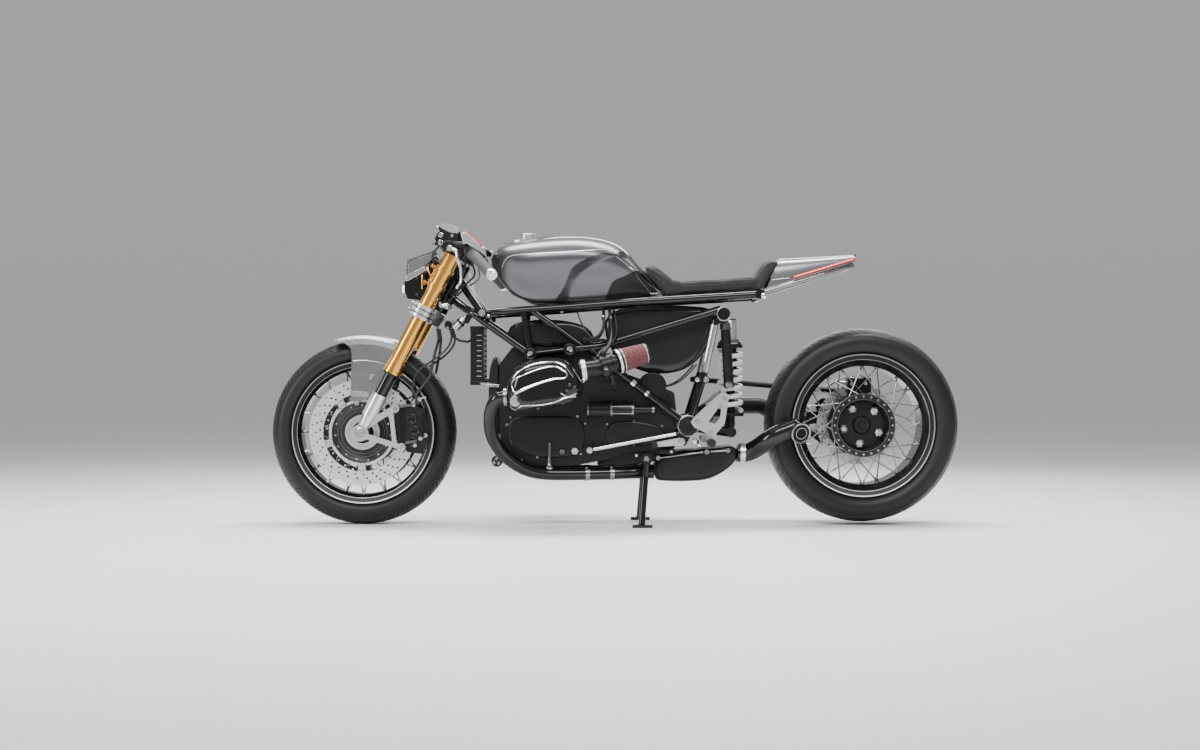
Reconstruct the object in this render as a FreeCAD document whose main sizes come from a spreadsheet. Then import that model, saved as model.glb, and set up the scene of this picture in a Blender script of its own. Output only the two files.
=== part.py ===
import FreeCAD, Part
import math
import os
import Sketcher

# Cafe racer motorcycle: millimetres, forward -X, left side -Y, up +Z, floor at Z = 0.
os.makedirs("parts", exist_ok=True)
doc = FreeCAD.newDocument("CafeRacer")
Vec = FreeCAD.Vector

SIZES = {
    # wheels and where they stand
    "frontAxleX": -817, "frontAxleZ": 300, "rearAxleX": 802, "rearAxleZ": 323,
    "frontTyreRadius": 300, "frontTyreHalf": 61, "frontSeatHalf": 44,
    "rearTyreRadius": 315, "rearTyreHalf": 91, "rearSeatHalf": 70,
    "flangeRadius": 231, "flangeLip": 12, "beadRadius": "=flangeRadius - flangeLip",
    "tyreWall": 9, "rimWall": 8, "fitGap": 0.3, "frontWell": 17, "rearWell": 27,
    "frontRimInner": "=beadRadius - frontWell", "rearRimInner": "=beadRadius - rearWell",
    "frontShoulder": "=(frontTyreRadius - flangeRadius) * 0.32", "frontBulge": "=(frontTyreRadius - flangeRadius) * 0.667",
    "rearShoulder": "=(rearTyreRadius - flangeRadius) * 0.262", "rearBulge": "=(rearTyreRadius - flangeRadius) * 0.548",
    "spokeRadius": 2.2, "spokePairs": 20,
    "frontHubFlange": 58, "frontHubHalf": 34, "frontHubBore": 12.3, "frontAxleRadius": 12,
    "rearHubFlange": 103, "rearHubNear": 74, "rearHubFar": 44, "rearHubFloor": 34,
    # brake discs
    "frontDiscRadius": 171, "frontDiscInner": 126, "frontDiscThick": 5, "frontDiscY": 68,
    "discHole": 3.4, "discHoleGroups": 30, "discLobeRadius": 111,
    "rearDiscRadius": 133, "rearDiscInner": 98, "rearDiscThick": 5, "rearDiscY": 70,
    # fork and steering
    "rake": 27.5, "legY": 112, "forkOffset": 30, "tubeRadius": 26, "tubeLow": 238, "tubeHigh": 715,
    "stanchionRadius": 21.5, "stanchionHigh": 460,
    "footRadius": 24.5, "footLow": 60, "footHigh": 138, "lugRadius": 27,
    "lowerClampLow": 413, "lowerClampHigh": 457, "upperClampLow": 641, "upperClampHigh": 664,
    "clampWall": 10, "stemRadius": 15, "headTubeBore": 15.3, "headTubeRadius": 31,
    "headTubeLow": 460, "headTubeHigh": 632,
    # frame
    "railGap": 19, "railY": "=blockHalf + railGap", "frameTube": 13.5, "pivotX": 234, "pivotZ": 323,
    "tailTube": 9, "capX": -284, "capRadius": 27, "plateRadius": 83, "plateCrown": 1200,
    "springWire": 8, "springPitch": 26, "springRadius": 34, "reservoirRadius": 16,
    # engine
    "crankX": -218, "crankZ": 455, "blockHalf": 103, "cylinderRadius": 58, "finHalf": 76,
    "finCount": 9, "finPitch": 11.5, "finThick": 4, "finStart": 124, "coverStart": 236, "coverEnd": 362,
    "starterRadius": 24, "ribProud": 4, "coolerSlots": 9, "coolerPitch": 16.5,
    # centre stand
    "standX": 100, "standZ": 218, "standGap": 15, "standY": "=blockHalf + standGap", "standTube": 11, "standPivotTube": 14,
    "standFootX": 84, "standFootY": 152,
}

sheet = doc.addObject("Spreadsheet::Sheet", "Sizes")
for row, alias in enumerate(SIZES, start=1):
    sheet.set(f"A{row}", alias)
    sheet.setAlias(f"B{row}", alias)
for row, number in enumerate(SIZES.values(), start=1):
    sheet.set(f"B{row}", str(number))
doc.recompute()

parts = []


def size(name):
    return float(sheet.get(name))


def amount(text):
    """value of a sum of sheet names and plain numbers"""
    total = 0.0
    sign = 1
    for word in str(text).split():
        if word in ("+", "-"):
            sign = 1 if word == "+" else -1
            continue
        if word[0] == "-":
            sign = -sign
            word = word[1:]
        number = float(word) if word[0].isdigit() else size(word)
        total += sign * number
        sign = 1
    return total


def formula(text):
    """the same sum written for an expression"""
    words = []
    for word in str(text).split():
        bare = word.lstrip("-")
        named = bool(bare) and bare[0].isalpha()
        words.append(word.replace(bare, "Sizes." + bare) if named else word)
    return " ".join(words)


def publish(item):
    parts.append(item)
    return item


def newBody(label):
    body = doc.addObject("PartDesign::Body", label)
    body.Label = label
    return body


def originPlane(body, role):
    return [item for item in body.Origin.OriginFeatures if item.Role == role][0]


def newSketch(body, name, role):
    sketch = body.newObject("Sketcher::SketchObject", name)
    sketch.AttachmentSupport = (originPlane(body, role), [""])
    sketch.MapMode = "FlatFace"
    return sketch


def pinPoint(sketch, geo, pos, x, y):
    for kind, text in (("DistanceX", x), ("DistanceY", y)):
        index = sketch.addConstraint(Sketcher.Constraint(kind, -1, 1, geo, pos, amount(text)))
        if any(letter.isalpha() for letter in str(text)):
            sketch.setExpression(f"Constraints[{index}]", formula(text))


def addLoop(sketch, corners):
    """closed loop; a corner with a third item is the middle of an arc between its neighbours"""
    stops = [corner for corner in corners if len(corner) == 2]
    edges = []
    for i, corner in enumerate(corners):
        if len(corner) == 3:
            continue
        after = corners[(i + 1) % len(corners)]
        start = Vec(amount(corner[0]), amount(corner[1]), 0)
        if len(after) == 3:
            end = corners[(i + 2) % len(corners)]
            middle = Vec(amount(after[0]), amount(after[1]), 0)
            curve = Part.Arc(start, middle, Vec(amount(end[0]), amount(end[1]), 0))
            geo = sketch.addGeometry(curve, False)
            ccw = (sketch.getPoint(geo, 1) - start).Length < 1e-4
            edges.append((geo, 1 if ccw else 2, 2 if ccw else 1, after))
        else:
            end = Vec(amount(after[0]), amount(after[1]), 0)
            edges.append((sketch.addGeometry(Part.LineSegment(start, end), False), 1, 2, None))
    for i, (geo, first, last, middle) in enumerate(edges):
        following = edges[(i + 1) % len(edges)]
        sketch.addConstraint(Sketcher.Constraint("Coincident", geo, last, following[0], following[1]))
    for (geo, first, last, middle), corner in zip(edges, stops):
        pinPoint(sketch, geo, first, corner[0], corner[1])
        if middle:
            spot = sketch.addGeometry(Part.Point(Vec(amount(middle[0]), amount(middle[1]), 0)), True)
            sketch.addConstraint(Sketcher.Constraint("PointOnObject", spot, 1, geo))
            pinPoint(sketch, spot, 1, middle[0], middle[1])


def addCircle(sketch, x, y, radius):
    geo = sketch.addGeometry(Part.Circle(Vec(amount(x), amount(y), 0), Vec(0, 0, 1), amount(radius)), False)
    index = sketch.addConstraint(Sketcher.Constraint("Radius", geo, amount(radius)))
    sketch.setExpression(f"Constraints[{index}]", formula(radius))
    pinPoint(sketch, geo, 3, x, y)


def revolve(body, name, corners):
    """ring about the body's Y axis from a half section in its XY plane"""
    sketch = newSketch(body, name + "Section", "XY_Plane")
    addLoop(sketch, corners)
    feature = body.newObject("PartDesign::Revolution", name)
    feature.Profile = sketch
    feature.ReferenceAxis = (sketch, ["V_Axis"])
    feature.Angle = 360
    sketch.Visibility = False
    doc.recompute()
    return feature


def extrude(body, kind, name, role, fill, length, both=True):
    """pad or pocket of a sketch that fill() draws"""
    sketch = newSketch(body, name + "Section", role)
    fill(sketch)
    feature = body.newObject(kind, name)
    feature.Profile = sketch
    feature.Midplane = both
    feature.Length = amount(length)
    feature.setExpression("Length", formula(length))
    sketch.Visibility = False
    doc.recompute()
    return feature


def polar(body, name, feature, count):
    pattern = body.newObject("PartDesign::PolarPattern", name)
    pattern.Originals = [feature]
    pattern.Axis = (originPlane(body, "Y_Axis"), [""])
    pattern.Angle = 360
    pattern.setExpression("Occurrences", formula(count))
    body.Tip = pattern
    doc.recompute()
    return pattern


def feature(label, shape, place=None):
    item = doc.addObject("Part::Feature", label)
    item.Label = label
    item.Shape = shape
    if place:
        item.Placement = place.multiply(shape.Placement)
    return item


def rod(a, b, radius, endRadius=None):
    """round bar or cone from a to b"""
    a = Vec(*a)
    b = Vec(*b)
    if endRadius is None:
        return Part.makeCylinder(radius, (b - a).Length, a, b - a)
    return Part.makeCone(radius, endRadius, (b - a).Length, a, b - a)


def ring(a, b, radius, bore):
    return rod(a, b, radius).cut(rod(a, b, bore))


def pipe(points, radius, bend):
    """round tube along straight runs joined by tangent arcs"""
    points = [Vec(*point) for point in points]
    edges = []
    start = points[0]
    for a, b, c in zip(points, points[1:], points[2:]):
        back = (a - b).normalize()
        ahead = (c - b).normalize()
        half = back.getAngle(ahead) / 2
        if abs(half - math.pi / 2) < 1e-3:
            continue
        cut = bend / math.tan(half)
        arcStart = b + back * cut
        arcEnd = b + ahead * cut
        middle = b + (back + ahead).normalize() * (bend / math.sin(half) - bend)
        edges.append(Part.LineSegment(start, arcStart).toShape())
        edges.append(Part.Arc(arcStart, middle, arcEnd).toShape())
        start = arcEnd
    edges.append(Part.LineSegment(start, points[-1]).toShape())
    path = Part.Wire(edges)
    circle = Part.Wire(Part.makeCircle(radius, points[0], points[1] - points[0]))
    return path.makePipeShell([circle], True, False)


def both(shape):
    """the shape and its mirror image on the other side"""
    return [shape, shape.mirror(Vec(0, 0, 0), Vec(0, 1, 0))]


def join(shapes):
    return shapes[0].multiFuse(shapes[1:]).removeSplitter()


def slab(outline, y0, y1):
    """flat plate from an outline of (x, z) points between two Y planes"""
    wire = Part.makePolygon([Vec(x, y0, z) for x, z in outline] + [Vec(outline[0][0], y0, outline[0][1])])
    return Part.Face(wire).extrude(Vec(0, y1 - y0, 0))


def block(x, y, z):
    """box from three (low, high) pairs"""
    return Part.makeBox(x[1] - x[0], y[1] - y[0], z[1] - z[0], Vec(x[0], y[0], z[0]))


def loop(points):
    curve = Part.BSplineCurve()
    curve.interpolate([Vec(*point) for point in points], PeriodicFlag=True)
    return Part.Wire(curve.toShape())


def loft(wires):
    return Part.makeLoft(wires, True, False)


def soften(shape, radius, pick=None):
    edges = [edge for edge in shape.Edges if pick is None or pick(edge)]
    return shape.makeFillet(radius, edges)


frontPlace = FreeCAD.Placement(Vec(size("frontAxleX"), 0, size("frontAxleZ")), FreeCAD.Rotation())
rearPlace = FreeCAD.Placement(Vec(size("rearAxleX"), 0, size("rearAxleZ")), FreeCAD.Rotation())
forkPlace = FreeCAD.Placement(Vec(size("frontAxleX"), 0, size("frontAxleZ")),
                              FreeCAD.Rotation(Vec(0, 1, 0), size("rake")))


# wheels
def makeTyre(label, end, place):
    """tyre carcass with round shoulders, beads on the rim seats"""
    outer = f"{end}TyreRadius"
    half = f"{end}TyreHalf"
    seat = f"{end}SeatHalf"
    shoulder = f"{outer} - {end}Shoulder"
    bulge = f"{outer} - {end}Bulge"
    body = newBody(label)
    revolve(body, "Carcass", [
        ("beadRadius", f"-{seat}"), ("flangeRadius + 1.5", f"-{seat} - 1"), (bulge, f"-{half}", 1),
        (shoulder, f"-{half} + 9"), (outer, "0", 1),
        (shoulder, f"{half} - 9"), (bulge, half, 1), ("flangeRadius + 1.5", f"{seat} + 1"),
        ("beadRadius", seat), ("beadRadius", f"{seat} - 8"), ("flangeRadius + 3", f"{seat} - 7"),
        (f"{bulge} - 2", f"{half} - tyreWall", 1),
        (f"{shoulder} - tyreWall", f"{half} - 18"), (f"{outer} - tyreWall", "0", 1),
        (f"{shoulder} - tyreWall", f"-{half} + 18"), (f"{bulge} - 2", f"-{half} + tyreWall", 1),
        ("flangeRadius + 3", f"-{seat} + 7"), ("beadRadius", f"-{seat} + 8")])
    body.Placement = place
    return publish(body)


def makeRimRing(label, end):
    """rim: two flanges, bead seats and a drop well"""
    seat = f"{end}SeatHalf"
    inner = f"{end}RimInner"
    body = newBody(label)
    revolve(body, "Ring", [
        ("flangeRadius", f"-{seat} - 9"), ("flangeRadius", f"-{seat} - 2"),
        ("beadRadius - fitGap", f"-{seat} - fitGap"), ("beadRadius - fitGap", f"-{seat} + 22"),
        (f"{inner} + rimWall", "-14"), (f"{inner} + rimWall", "14"),
        ("beadRadius - fitGap", f"{seat} - 22"), ("beadRadius - fitGap", f"{seat} + fitGap"),
        ("flangeRadius", f"{seat} + 2"), ("flangeRadius", f"{seat} + 9"),
        ("beadRadius - 7", f"{seat} + 9"), (inner, f"{seat} - 14"),
        (inner, f"-{seat} + 14"), ("beadRadius - 7", f"-{seat} - 9")])
    return body


def makeSpokes(end, hubRadius, hubY, rimY, lean):
    """pairs of spokes that meet at the rim, alternate pairs on each side"""
    rimRadius = size(f"{end}RimInner") + 3
    count = int(size("spokePairs"))
    spokes = []
    for i in range(count):
        side = -1 if i % 2 else 1
        angle = 2 * math.pi * i / count
        outer = (rimRadius * math.cos(angle), side * rimY, rimRadius * math.sin(angle))
        for turn in (-lean, lean):
            hubAngle = angle + math.radians(turn)
            y = hubY[0] if side < 0 else hubY[1]
            inner = (hubRadius * math.cos(hubAngle), y, hubRadius * math.sin(hubAngle))
            spokes.append(rod(inner, outer, size("spokeRadius")))
    return spokes


def makeFrontWheel():
    rim = makeRimRing("FrontRimRing", "front")
    hub = newBody("FrontHub")
    revolve(hub, "Barrel", [
        ("frontHubBore", "-frontHubHalf - 22"), ("30", "-frontHubHalf - 22"), ("30", "-frontHubHalf - 6"),
        ("frontHubFlange", "-frontHubHalf - 6"), ("frontHubFlange", "-frontHubHalf + 4"),
        ("27", "-frontHubHalf + 16"), ("27", "frontHubHalf - 16"),
        ("frontHubFlange", "frontHubHalf - 4"), ("frontHubFlange", "frontHubHalf + 6"),
        ("30", "frontHubHalf + 6"), ("30", "frontHubHalf + 22"), ("frontHubBore", "frontHubHalf + 22")])
    hubY = (-size("frontHubHalf"), size("frontHubHalf"))
    spokes = makeSpokes("front", size("frontHubFlange") - 4, hubY, 26, 52)
    publish(feature("front_rim", rim.Shape.multiFuse([hub.Shape] + spokes), frontPlace))


def makeRearWheel():
    rim = makeRimRing("RearRimRing", "rear")
    hub = newBody("RearHub")
    revolve(hub, "Cup", [
        ("0", "rearHubFloor - 26"), ("66", "rearHubFloor - 18"), ("86", "-rearHubNear"),
        ("rearHubFlange", "-rearHubNear"), ("rearHubFlange", "-rearHubNear + 12"), ("96", "-rearHubNear + 20"),
        ("92", "rearHubFar - 18"), ("rearHubFlange", "rearHubFar - 12"), ("rearHubFlange", "rearHubFar"),
        ("80", "rearHubFar"), ("76", "rearHubFar + 16"), ("76", "rearHubFar + 34"), ("60", "rearHubFar + 34"),
        ("56", "rearHubFloor"), ("26", "rearHubFloor"), ("26", "rearHubFloor - 16"), ("0", "rearHubFloor - 16")])
    hubY = (-size("rearHubNear") + 6, size("rearHubFar") - 6)
    spokes = makeSpokes("rear", size("rearHubFlange") - 5, hubY, 38, 30)
    publish(feature("rear_rim", rim.Shape.multiFuse([hub.Shape] + spokes), rearPlace))


def makeDisc(name, end):
    """drilled brake ring about the Y axis, centred on its own plane"""
    outer = f"{end}DiscRadius"
    inner = f"{end}DiscInner"
    body = newBody(name)

    def annulus(sketch):
        addCircle(sketch, "0", "0", outer)
        addCircle(sketch, "0", "0", inner)

    extrude(body, "PartDesign::Pad", "Ring", "XZ_Plane", annulus, f"{end}DiscThick")

    def holes(sketch):
        middle = (size(outer) + size(inner)) / 2
        for step, (radius, turn) in enumerate(((-13, -3.4), (0, 0), (13, 3.4))):
            angle = math.radians(turn)
            reach = middle + radius
            geo = Part.Circle(Vec(reach * math.cos(angle), reach * math.sin(angle), 0), Vec(0, 0, 1),
                              size("discHole"))
            index = sketch.addGeometry(geo, False)
            bound = sketch.addConstraint(Sketcher.Constraint("Radius", index, size("discHole")))
            sketch.setExpression(f"Constraints[{bound}]", "Sizes.discHole")
            pinPoint(sketch, index, 3, f"{reach * math.cos(angle):.3f}", f"{reach * math.sin(angle):.3f}")

    drilled = extrude(body, "PartDesign::Pocket", "Holes", "XZ_Plane", holes, "20")
    polar(body, "HoleRing", drilled, "discHoleGroups")
    return body


def makeDiscs():
    ringBody = makeDisc("FrontDiscRing", "front")
    lobes = []
    lobeRadius = size("discLobeRadius")
    half = size("frontDiscThick") / 2
    for i in range(5):
        angle = math.radians(-90 + 72 * i)
        seat = (lobeRadius * math.cos(angle), lobeRadius * math.sin(angle))
        tip = (size("frontDiscInner") + 4, lobeRadius)
        arm = block((lobeRadius - 6, tip[0]), (-half, half), (-13, 13))
        arm.rotate(Vec(0, 0, 0), Vec(0, 1, 0), -math.degrees(angle))
        lobes.append(arm)
        lobes.append(rod((seat[0], -half, seat[1]), (seat[0], half, seat[1]), 13))
    plateY = size("frontDiscY") - size("frontHubHalf") - 6 - size("fitGap")
    web = ring((0, -half, 0), (0, 8, 0), 107, 96)
    cone = rod((0, 7, 0), (0, plateY - 4, 0), 107, 62).cut(rod((0, 2, 0), (0, plateY - 9, 0), 107, 62))
    carrier = join([web, cone, rod((0, plateY - 7, 0), (0, plateY, 0), 66)])
    carrier = carrier.cut(rod((0, -30, 0), (0, 60, 0), 31))
    disc = join([ringBody.Shape, carrier] + lobes)
    left = disc.copy()
    left.translate(Vec(0, -size("frontDiscY"), 0))
    pair = Part.makeCompound(both(left))
    ringBody.Visibility = False
    publish(feature("front_discs", pair, frontPlace))

    rearBody = makeDisc("RearDiscRing", "rear")
    inner = ring((0, 2.5, 0), (0, 8.5, 0), 104, 76.3)
    ears = []
    for i in range(5):
        angle = math.radians(72 * i)
        spot = (101 * math.cos(angle), 101 * math.sin(angle))
        ears.append(rod((spot[0], -2.5, spot[1]), (spot[0], 8.5, spot[1]), 8))
    rear = join([rearBody.Shape, inner] + ears)
    rear.translate(Vec(0, size("rearDiscY"), 0))
    rearBody.Visibility = False
    publish(feature("rear_disc", rear, rearPlace))


# fork and steering, drawn upright with Z along the fork legs
def makeFork():
    legY = size("legY")
    low = size("tubeLow")
    radius = size("tubeRadius")
    collars = [(low - 22, low + 8, 1), (low - 22, low - 14, 4.5), (low - 9, low - 1, 4), (low + 6, low + 13, 2)]
    tube = join([rod((0, -legY, low), (0, -legY, size("tubeHigh")), radius)] +
                [rod((0, -legY, start), (0, -legY, end), radius + proud) for start, end, proud in collars])
    tube = tube.cut(rod((0, -legY, 0), (0, -legY, size("stanchionHigh") + 1), size("stanchionRadius") + size("fitGap")))
    tube.Placement = forkPlace
    publish(feature("fork_tubes", Part.makeCompound(both(tube) + both(makeHeadlightStay()))))
    stanchion = rod((0, -legY, size("footHigh") + size("fitGap")), (0, -legY, size("stanchionHigh")),
                    size("stanchionRadius"))
    publish(feature("fork_stanchions", Part.makeCompound(both(stanchion)), forkPlace))


def makeForkFeet():
    """axle clamps with the two-armed brake brackets behind them"""
    legY = size("legY")
    cup = rod((0, -legY, size("footLow")), (0, -legY, size("footHigh")), size("footRadius"))
    neck = rod((0, -legY, 0), (0, -legY, size("footLow") + 2), 17, size("footRadius") - 3)
    lug = rod((0, -legY - 19, 0), (0, -legY + 17, 0), size("lugRadius"))
    foot = join([cup, neck, lug])
    foot = foot.cut(rod((0, -legY - 30, 0), (0, -legY + 30, 0), size("frontAxleRadius") + 0.2))
    foot.Placement = forkPlace.multiply(foot.Placement)
    x0 = size("frontAxleX")
    z0 = size("frontAxleZ")
    low = -legY - 7
    high = -legY + 5
    upper = slab([(x0 + 8, z0 + 30), (x0 + 22, z0 + 12), (x0 + 112, z0 + 70), (x0 + 108, z0 + 88)], low, high)
    lower = slab([(x0 + 20, z0 - 20), (x0 + 22, z0 - 2), (x0 + 134, z0 - 38), (x0 + 132, z0 - 54)], low, high)
    cross = slab([(x0 + 92, z0 + 74), (x0 + 106, z0 + 72), (x0 + 118, z0 - 40), (x0 + 104, z0 - 40)], low, high)
    pads = []
    for x, z in ((x0 + 112, z0 + 78), (x0 + 132, z0 - 46)):
        pads.append(rod((x, low, z), (x, -100.3, z), 13))
    foot = join([foot, upper, lower, cross] + pads)
    foot = foot.cut(rod((x0, -200, z0), (x0, 0, z0), size("frontAxleRadius") + 0.2))
    axle = rod((x0, -legY - 24, z0), (x0, legY + 24, z0), size("frontAxleRadius"))
    heads = [rod((x0, -legY - 28, z0), (x0, -legY - 19.3, z0), 18)]
    heads.append(heads[0].mirror(Vec(0, 0, 0), Vec(0, 1, 0)))
    axle = join([axle] + heads)
    axle = axle.cut(rod((x0, -200, z0), (x0, 200, z0), 7))
    publish(feature("fork_feet", Part.makeCompound(both(foot) + [axle])))


def clampPlate(low, high, reach):
    """fork clamp with split ends, drawn between two heights on the legs"""
    legY = size("legY")
    wall = size("tubeRadius") + size("clampWall")
    middle = size("forkOffset")
    outline = [Vec(-18, -legY, low), Vec(20, -legY, low), Vec(middle + 30, -40, low), Vec(middle + 30, 40, low),
               Vec(20, legY, low), Vec(-18, legY, low), Vec(-12, 60, low), Vec(-12, -60, low)]
    web = Part.Face(Part.makePolygon(outline + [outline[0]])).extrude(Vec(0, 0, high - low))
    solids = [web]
    for y in (-legY, legY):
        solids.append(rod((0, y, low), (0, y, high), wall))
        side = -1 if y < 0 else 1
        solids.append(block((-wall - reach, -20), sorted((y - side * 4, y + side * 20)), (low, high)))
    body = join(solids)
    for y in (-legY, legY):
        body = body.cut(rod((0, y, low - 5), (0, y, high + 5), size("tubeRadius") + 0.2))
        side = -1 if y < 0 else 1
        body = body.cut(block((-wall - reach - 5, -20), sorted((y + side * 6, y + side * 10)), (low - 5, high + 5)))
    return body


def makeClamps():
    low, high = size("lowerClampLow"), size("lowerClampHigh")
    lower = clampPlate(low, high, 12)
    offset = size("forkOffset")
    stem = rod((offset, 0, low), (offset, 0, size("upperClampLow")), size("stemRadius"))
    publish(feature("lower_clamp", join([lower, stem]), forkPlace))
    upper = clampPlate(size("upperClampLow"), size("upperClampHigh"), 8)
    top = rod((offset, 0, size("upperClampHigh") - 1), (offset, 0, size("upperClampHigh") + 16), 19)
    plate = block((offset + 8, offset + 58), (-46, 46), (size("upperClampHigh") + 18, size("upperClampHigh") + 26))
    post = block((offset + 12, offset + 30), (-12, 12), (size("upperClampLow") + 4, size("upperClampHigh") + 20))
    publish(feature("upper_clamp", join([upper, top, plate, post]), forkPlace))


def makeHandlebars():
    """bars clamped over the upper clamp, dropping back and out to the grips"""
    legY = size("legY")
    wall = size("tubeRadius") + 7
    collar = ring((0, -legY, 670), (0, -legY, 708), wall, size("tubeRadius") + 0.2)
    collar.Placement = forkPlace.multiply(collar.Placement)
    gripStart = Vec(-448, -215, 866)
    gripEnd = Vec(-386, -330, 798)
    along = (gripEnd - gripStart).normalize()
    inner = gripStart - along * 92
    bar = rod(tuple(inner), tuple(gripEnd), 11)
    bridge = rod(tuple(inner - along * 8), tuple(inner + along * 26), 19)
    tube = join([collar, bar, bridge])
    tubeHole = rod((0, -legY, 600), (0, -legY, size("tubeHigh") + 30), size("tubeRadius") + 0.2)
    tubeHole.Placement = forkPlace.multiply(tubeHole.Placement)
    tube = tube.cut(tubeHole)
    grip = ring(tuple(gripStart), tuple(gripEnd - along * 2), 17, 11.2)
    flange = ring(tuple(gripStart), tuple(gripStart + along * 6), 21, 11.2)
    publish(feature("grips", Part.makeCompound(both(join([grip, flange])))))
    endCap = join([rod(tuple(gripEnd + along * 0.3), tuple(gripEnd + along * 14), 17),
                   rod(tuple(gripEnd + along * 14), tuple(gripEnd + along * 20), 13)])
    publish(feature("handlebars", Part.makeCompound(both(tube) + both(endCap))))
    housing = ring(tuple(gripStart - along * 44), tuple(gripStart - along * 4), 22, 11.2)
    perch = ring(tuple(gripStart - along * 64), tuple(gripStart - along * 46), 19, 11.2)
    reservoir = slab([(-561, 956), (-546, 965), (-528, 965), (-494, 941), (-502, 924), (-540, 920), (-556, 936)],
                     -172, -128)
    tower = block((-535, -500), (-172, -150), (895, 930))
    pump = rod((-545, -168, 905), (-470, -182, 893), 13)
    leverRoot = block((-545, -510), (-190, -160), (878, 906))
    lever = pipe([(-528, -180, 888), (-496, -196, 868), (-474, -220, 838), (-466, -256, 794), (-473, -284, 764),
                  (-490, -292, 752)], 5.5, 12)
    controls = join([housing, perch, reservoir, tower, pump, leverRoot, lever])
    sweep = rod((0, -legY, 600), (0, -legY, size("tubeHigh") + 30), size("tubeRadius") + 0.5)
    cuff = rod((0, -legY, 669.7), (0, -legY, 708.3), wall + 0.3)
    for keepOut in (sweep, cuff):
        keepOut.Placement = forkPlace.multiply(keepOut.Placement)
        controls = controls.cut(keepOut)
    controls = controls.cut(rod(tuple(inner - along * 20), tuple(inner + along * 26.3), 19.3))
    controls = controls.cut(rod(tuple(inner), tuple(gripStart), 11.2))
    publish(feature("hand_controls", Part.makeCompound(both(controls))))


def makeHeadlightStay():
    """two bands round the left fork tube with a pad each on the headlight"""
    legY = size("legY")
    stays = []
    for height in (520, 580):
        band = ring((0, -legY, height), (0, -legY, height + 14), size("tubeRadius") + 5, size("tubeRadius") + 0.2)
        band.Placement = forkPlace.multiply(band.Placement)
        root = forkPlace.multVec(Vec(-size("tubeRadius") - 2, -legY + 12, height + 7))
        stays.append(band)
        stays.append(rod(tuple(root), (root.x - 16, -76, root.z + 4), 5))
        stays.append(rod((root.x - 16, -72.3, root.z + 4), (root.x - 16, -79, root.z + 4), 8))
    bridge = rod(tuple(forkPlace.multVec(Vec(-29, -legY, 525))), tuple(forkPlace.multVec(Vec(-29, -legY, 590))), 3)
    return join(stays + [bridge])


def makeHeadlight():
    shell = slab([(-672, 791), (-665.5, 851), (-588, 880), (-600, 852), (-616, 838), (-612, 812), (-612, 735),
                  (-630, 727), (-670, 732), (-683, 764), (-679, 788)], -72, 72)
    shell = soften(shell, 6, lambda edge: abs(edge.Length - 144) < 0.5)
    shell = shell.cut(block((-700, -664), (-60, 60), (741, 785)))
    lamps = [rod((-662, y, 763), (-674, y, 763), 17) for y in (-30, 30)]
    publish(feature("headlight", join([shell] + lamps)))
    visor = slab([(-677, 793), (-671, 857), (-585, 888), (-585, 883.5), (-667, 853.5), (-672.8, 793)], -76, 76)
    publish(feature("headlight_visor", visor))


def makeFender():
    """front mudguard: arched band with side panels down to the fork"""
    profile = [(285, -79.5), (303, -76), (313, -62), (317, -30), (318, 0), (317, 30), (313, 62), (303, 76),
               (285, 79.5), (232, 79.5), (232, 76.5), (284, 76.5), (300, 73), (310, 60), (314, 30), (315, 0),
               (314, -30), (310, -60), (300, -73), (284, -76.5), (232, -76.5), (232, -79.5)]
    points = [Vec(0, y, r) for r, y in profile]
    band = Part.Face(Part.makePolygon(points + [points[0]]))
    band.rotate(Vec(0, 0, 0), Vec(0, 1, 0), -17)
    band = band.revolve(Vec(0, 0, 0), Vec(0, 1, 0), 49)
    lip = slab([(-110, 297.5), (-86, 297.5), (-51, 285.6), (-36, 272), (-32, 252), (-32, 200), (-110, 200)], -90, 90)
    band = band.cut(lip)
    panel = slab([(-32, 252), (-36, 104), (-14, 98), (30, 112), (66, 132), (104, 160), (122, 205), (134, 262)],
                 -79.5, -76.5)
    boss = rod((88, -78, 168), (88, -size("legY") + size("stanchionRadius") + size("fitGap"), 168), 12)
    shape = join([band] + both(panel.fuse(boss)))
    publish(feature("front_fender", shape, frontPlace))


def makeFrontCalipers():
    """six-sided clamp over the disc edge, slot clear of the disc on both faces"""
    outer = slab([(112, 78), (148, 92), (204, 76), (215, -26), (198, -68), (150, -62), (122, -36)], -100, -75.7)
    inner = slab([(112, 60), (140, 84), (178, 62), (188, 0), (178, -50), (146, -56), (122, -36)], -60.3, -48)
    bridge = slab([(176.5, 66), (184, 78), (196, 40), (198, 0), (190, -48), (178, -50), (180, 0)], -80, -50)
    arc = rod((0, -75.7, 0), (0, -60.3, 0), size("frontDiscRadius") + 5.5)
    bridge = bridge.cut(arc)
    bridge = bridge.cut(rod((0, -62, 0), (0, 0, 0), 260).cut(rod((0, -62, 0), (0, 0, 0), 196)))
    caliper = join([outer, inner, bridge])
    publish(feature("front_calipers", Part.makeCompound(both(caliper)), frontPlace))


def makeBrakeHoses():
    hose = pipe([(-640, -88, 390.4), (-640, -88, 425), (-596, -88, 480), (-580, -80, 560), (-572, -40, 600),
                 (-577, -34, 637.4)], 4.5, 24)
    publish(feature("brake_hoses", Part.makeCompound(both(hose))))


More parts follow.
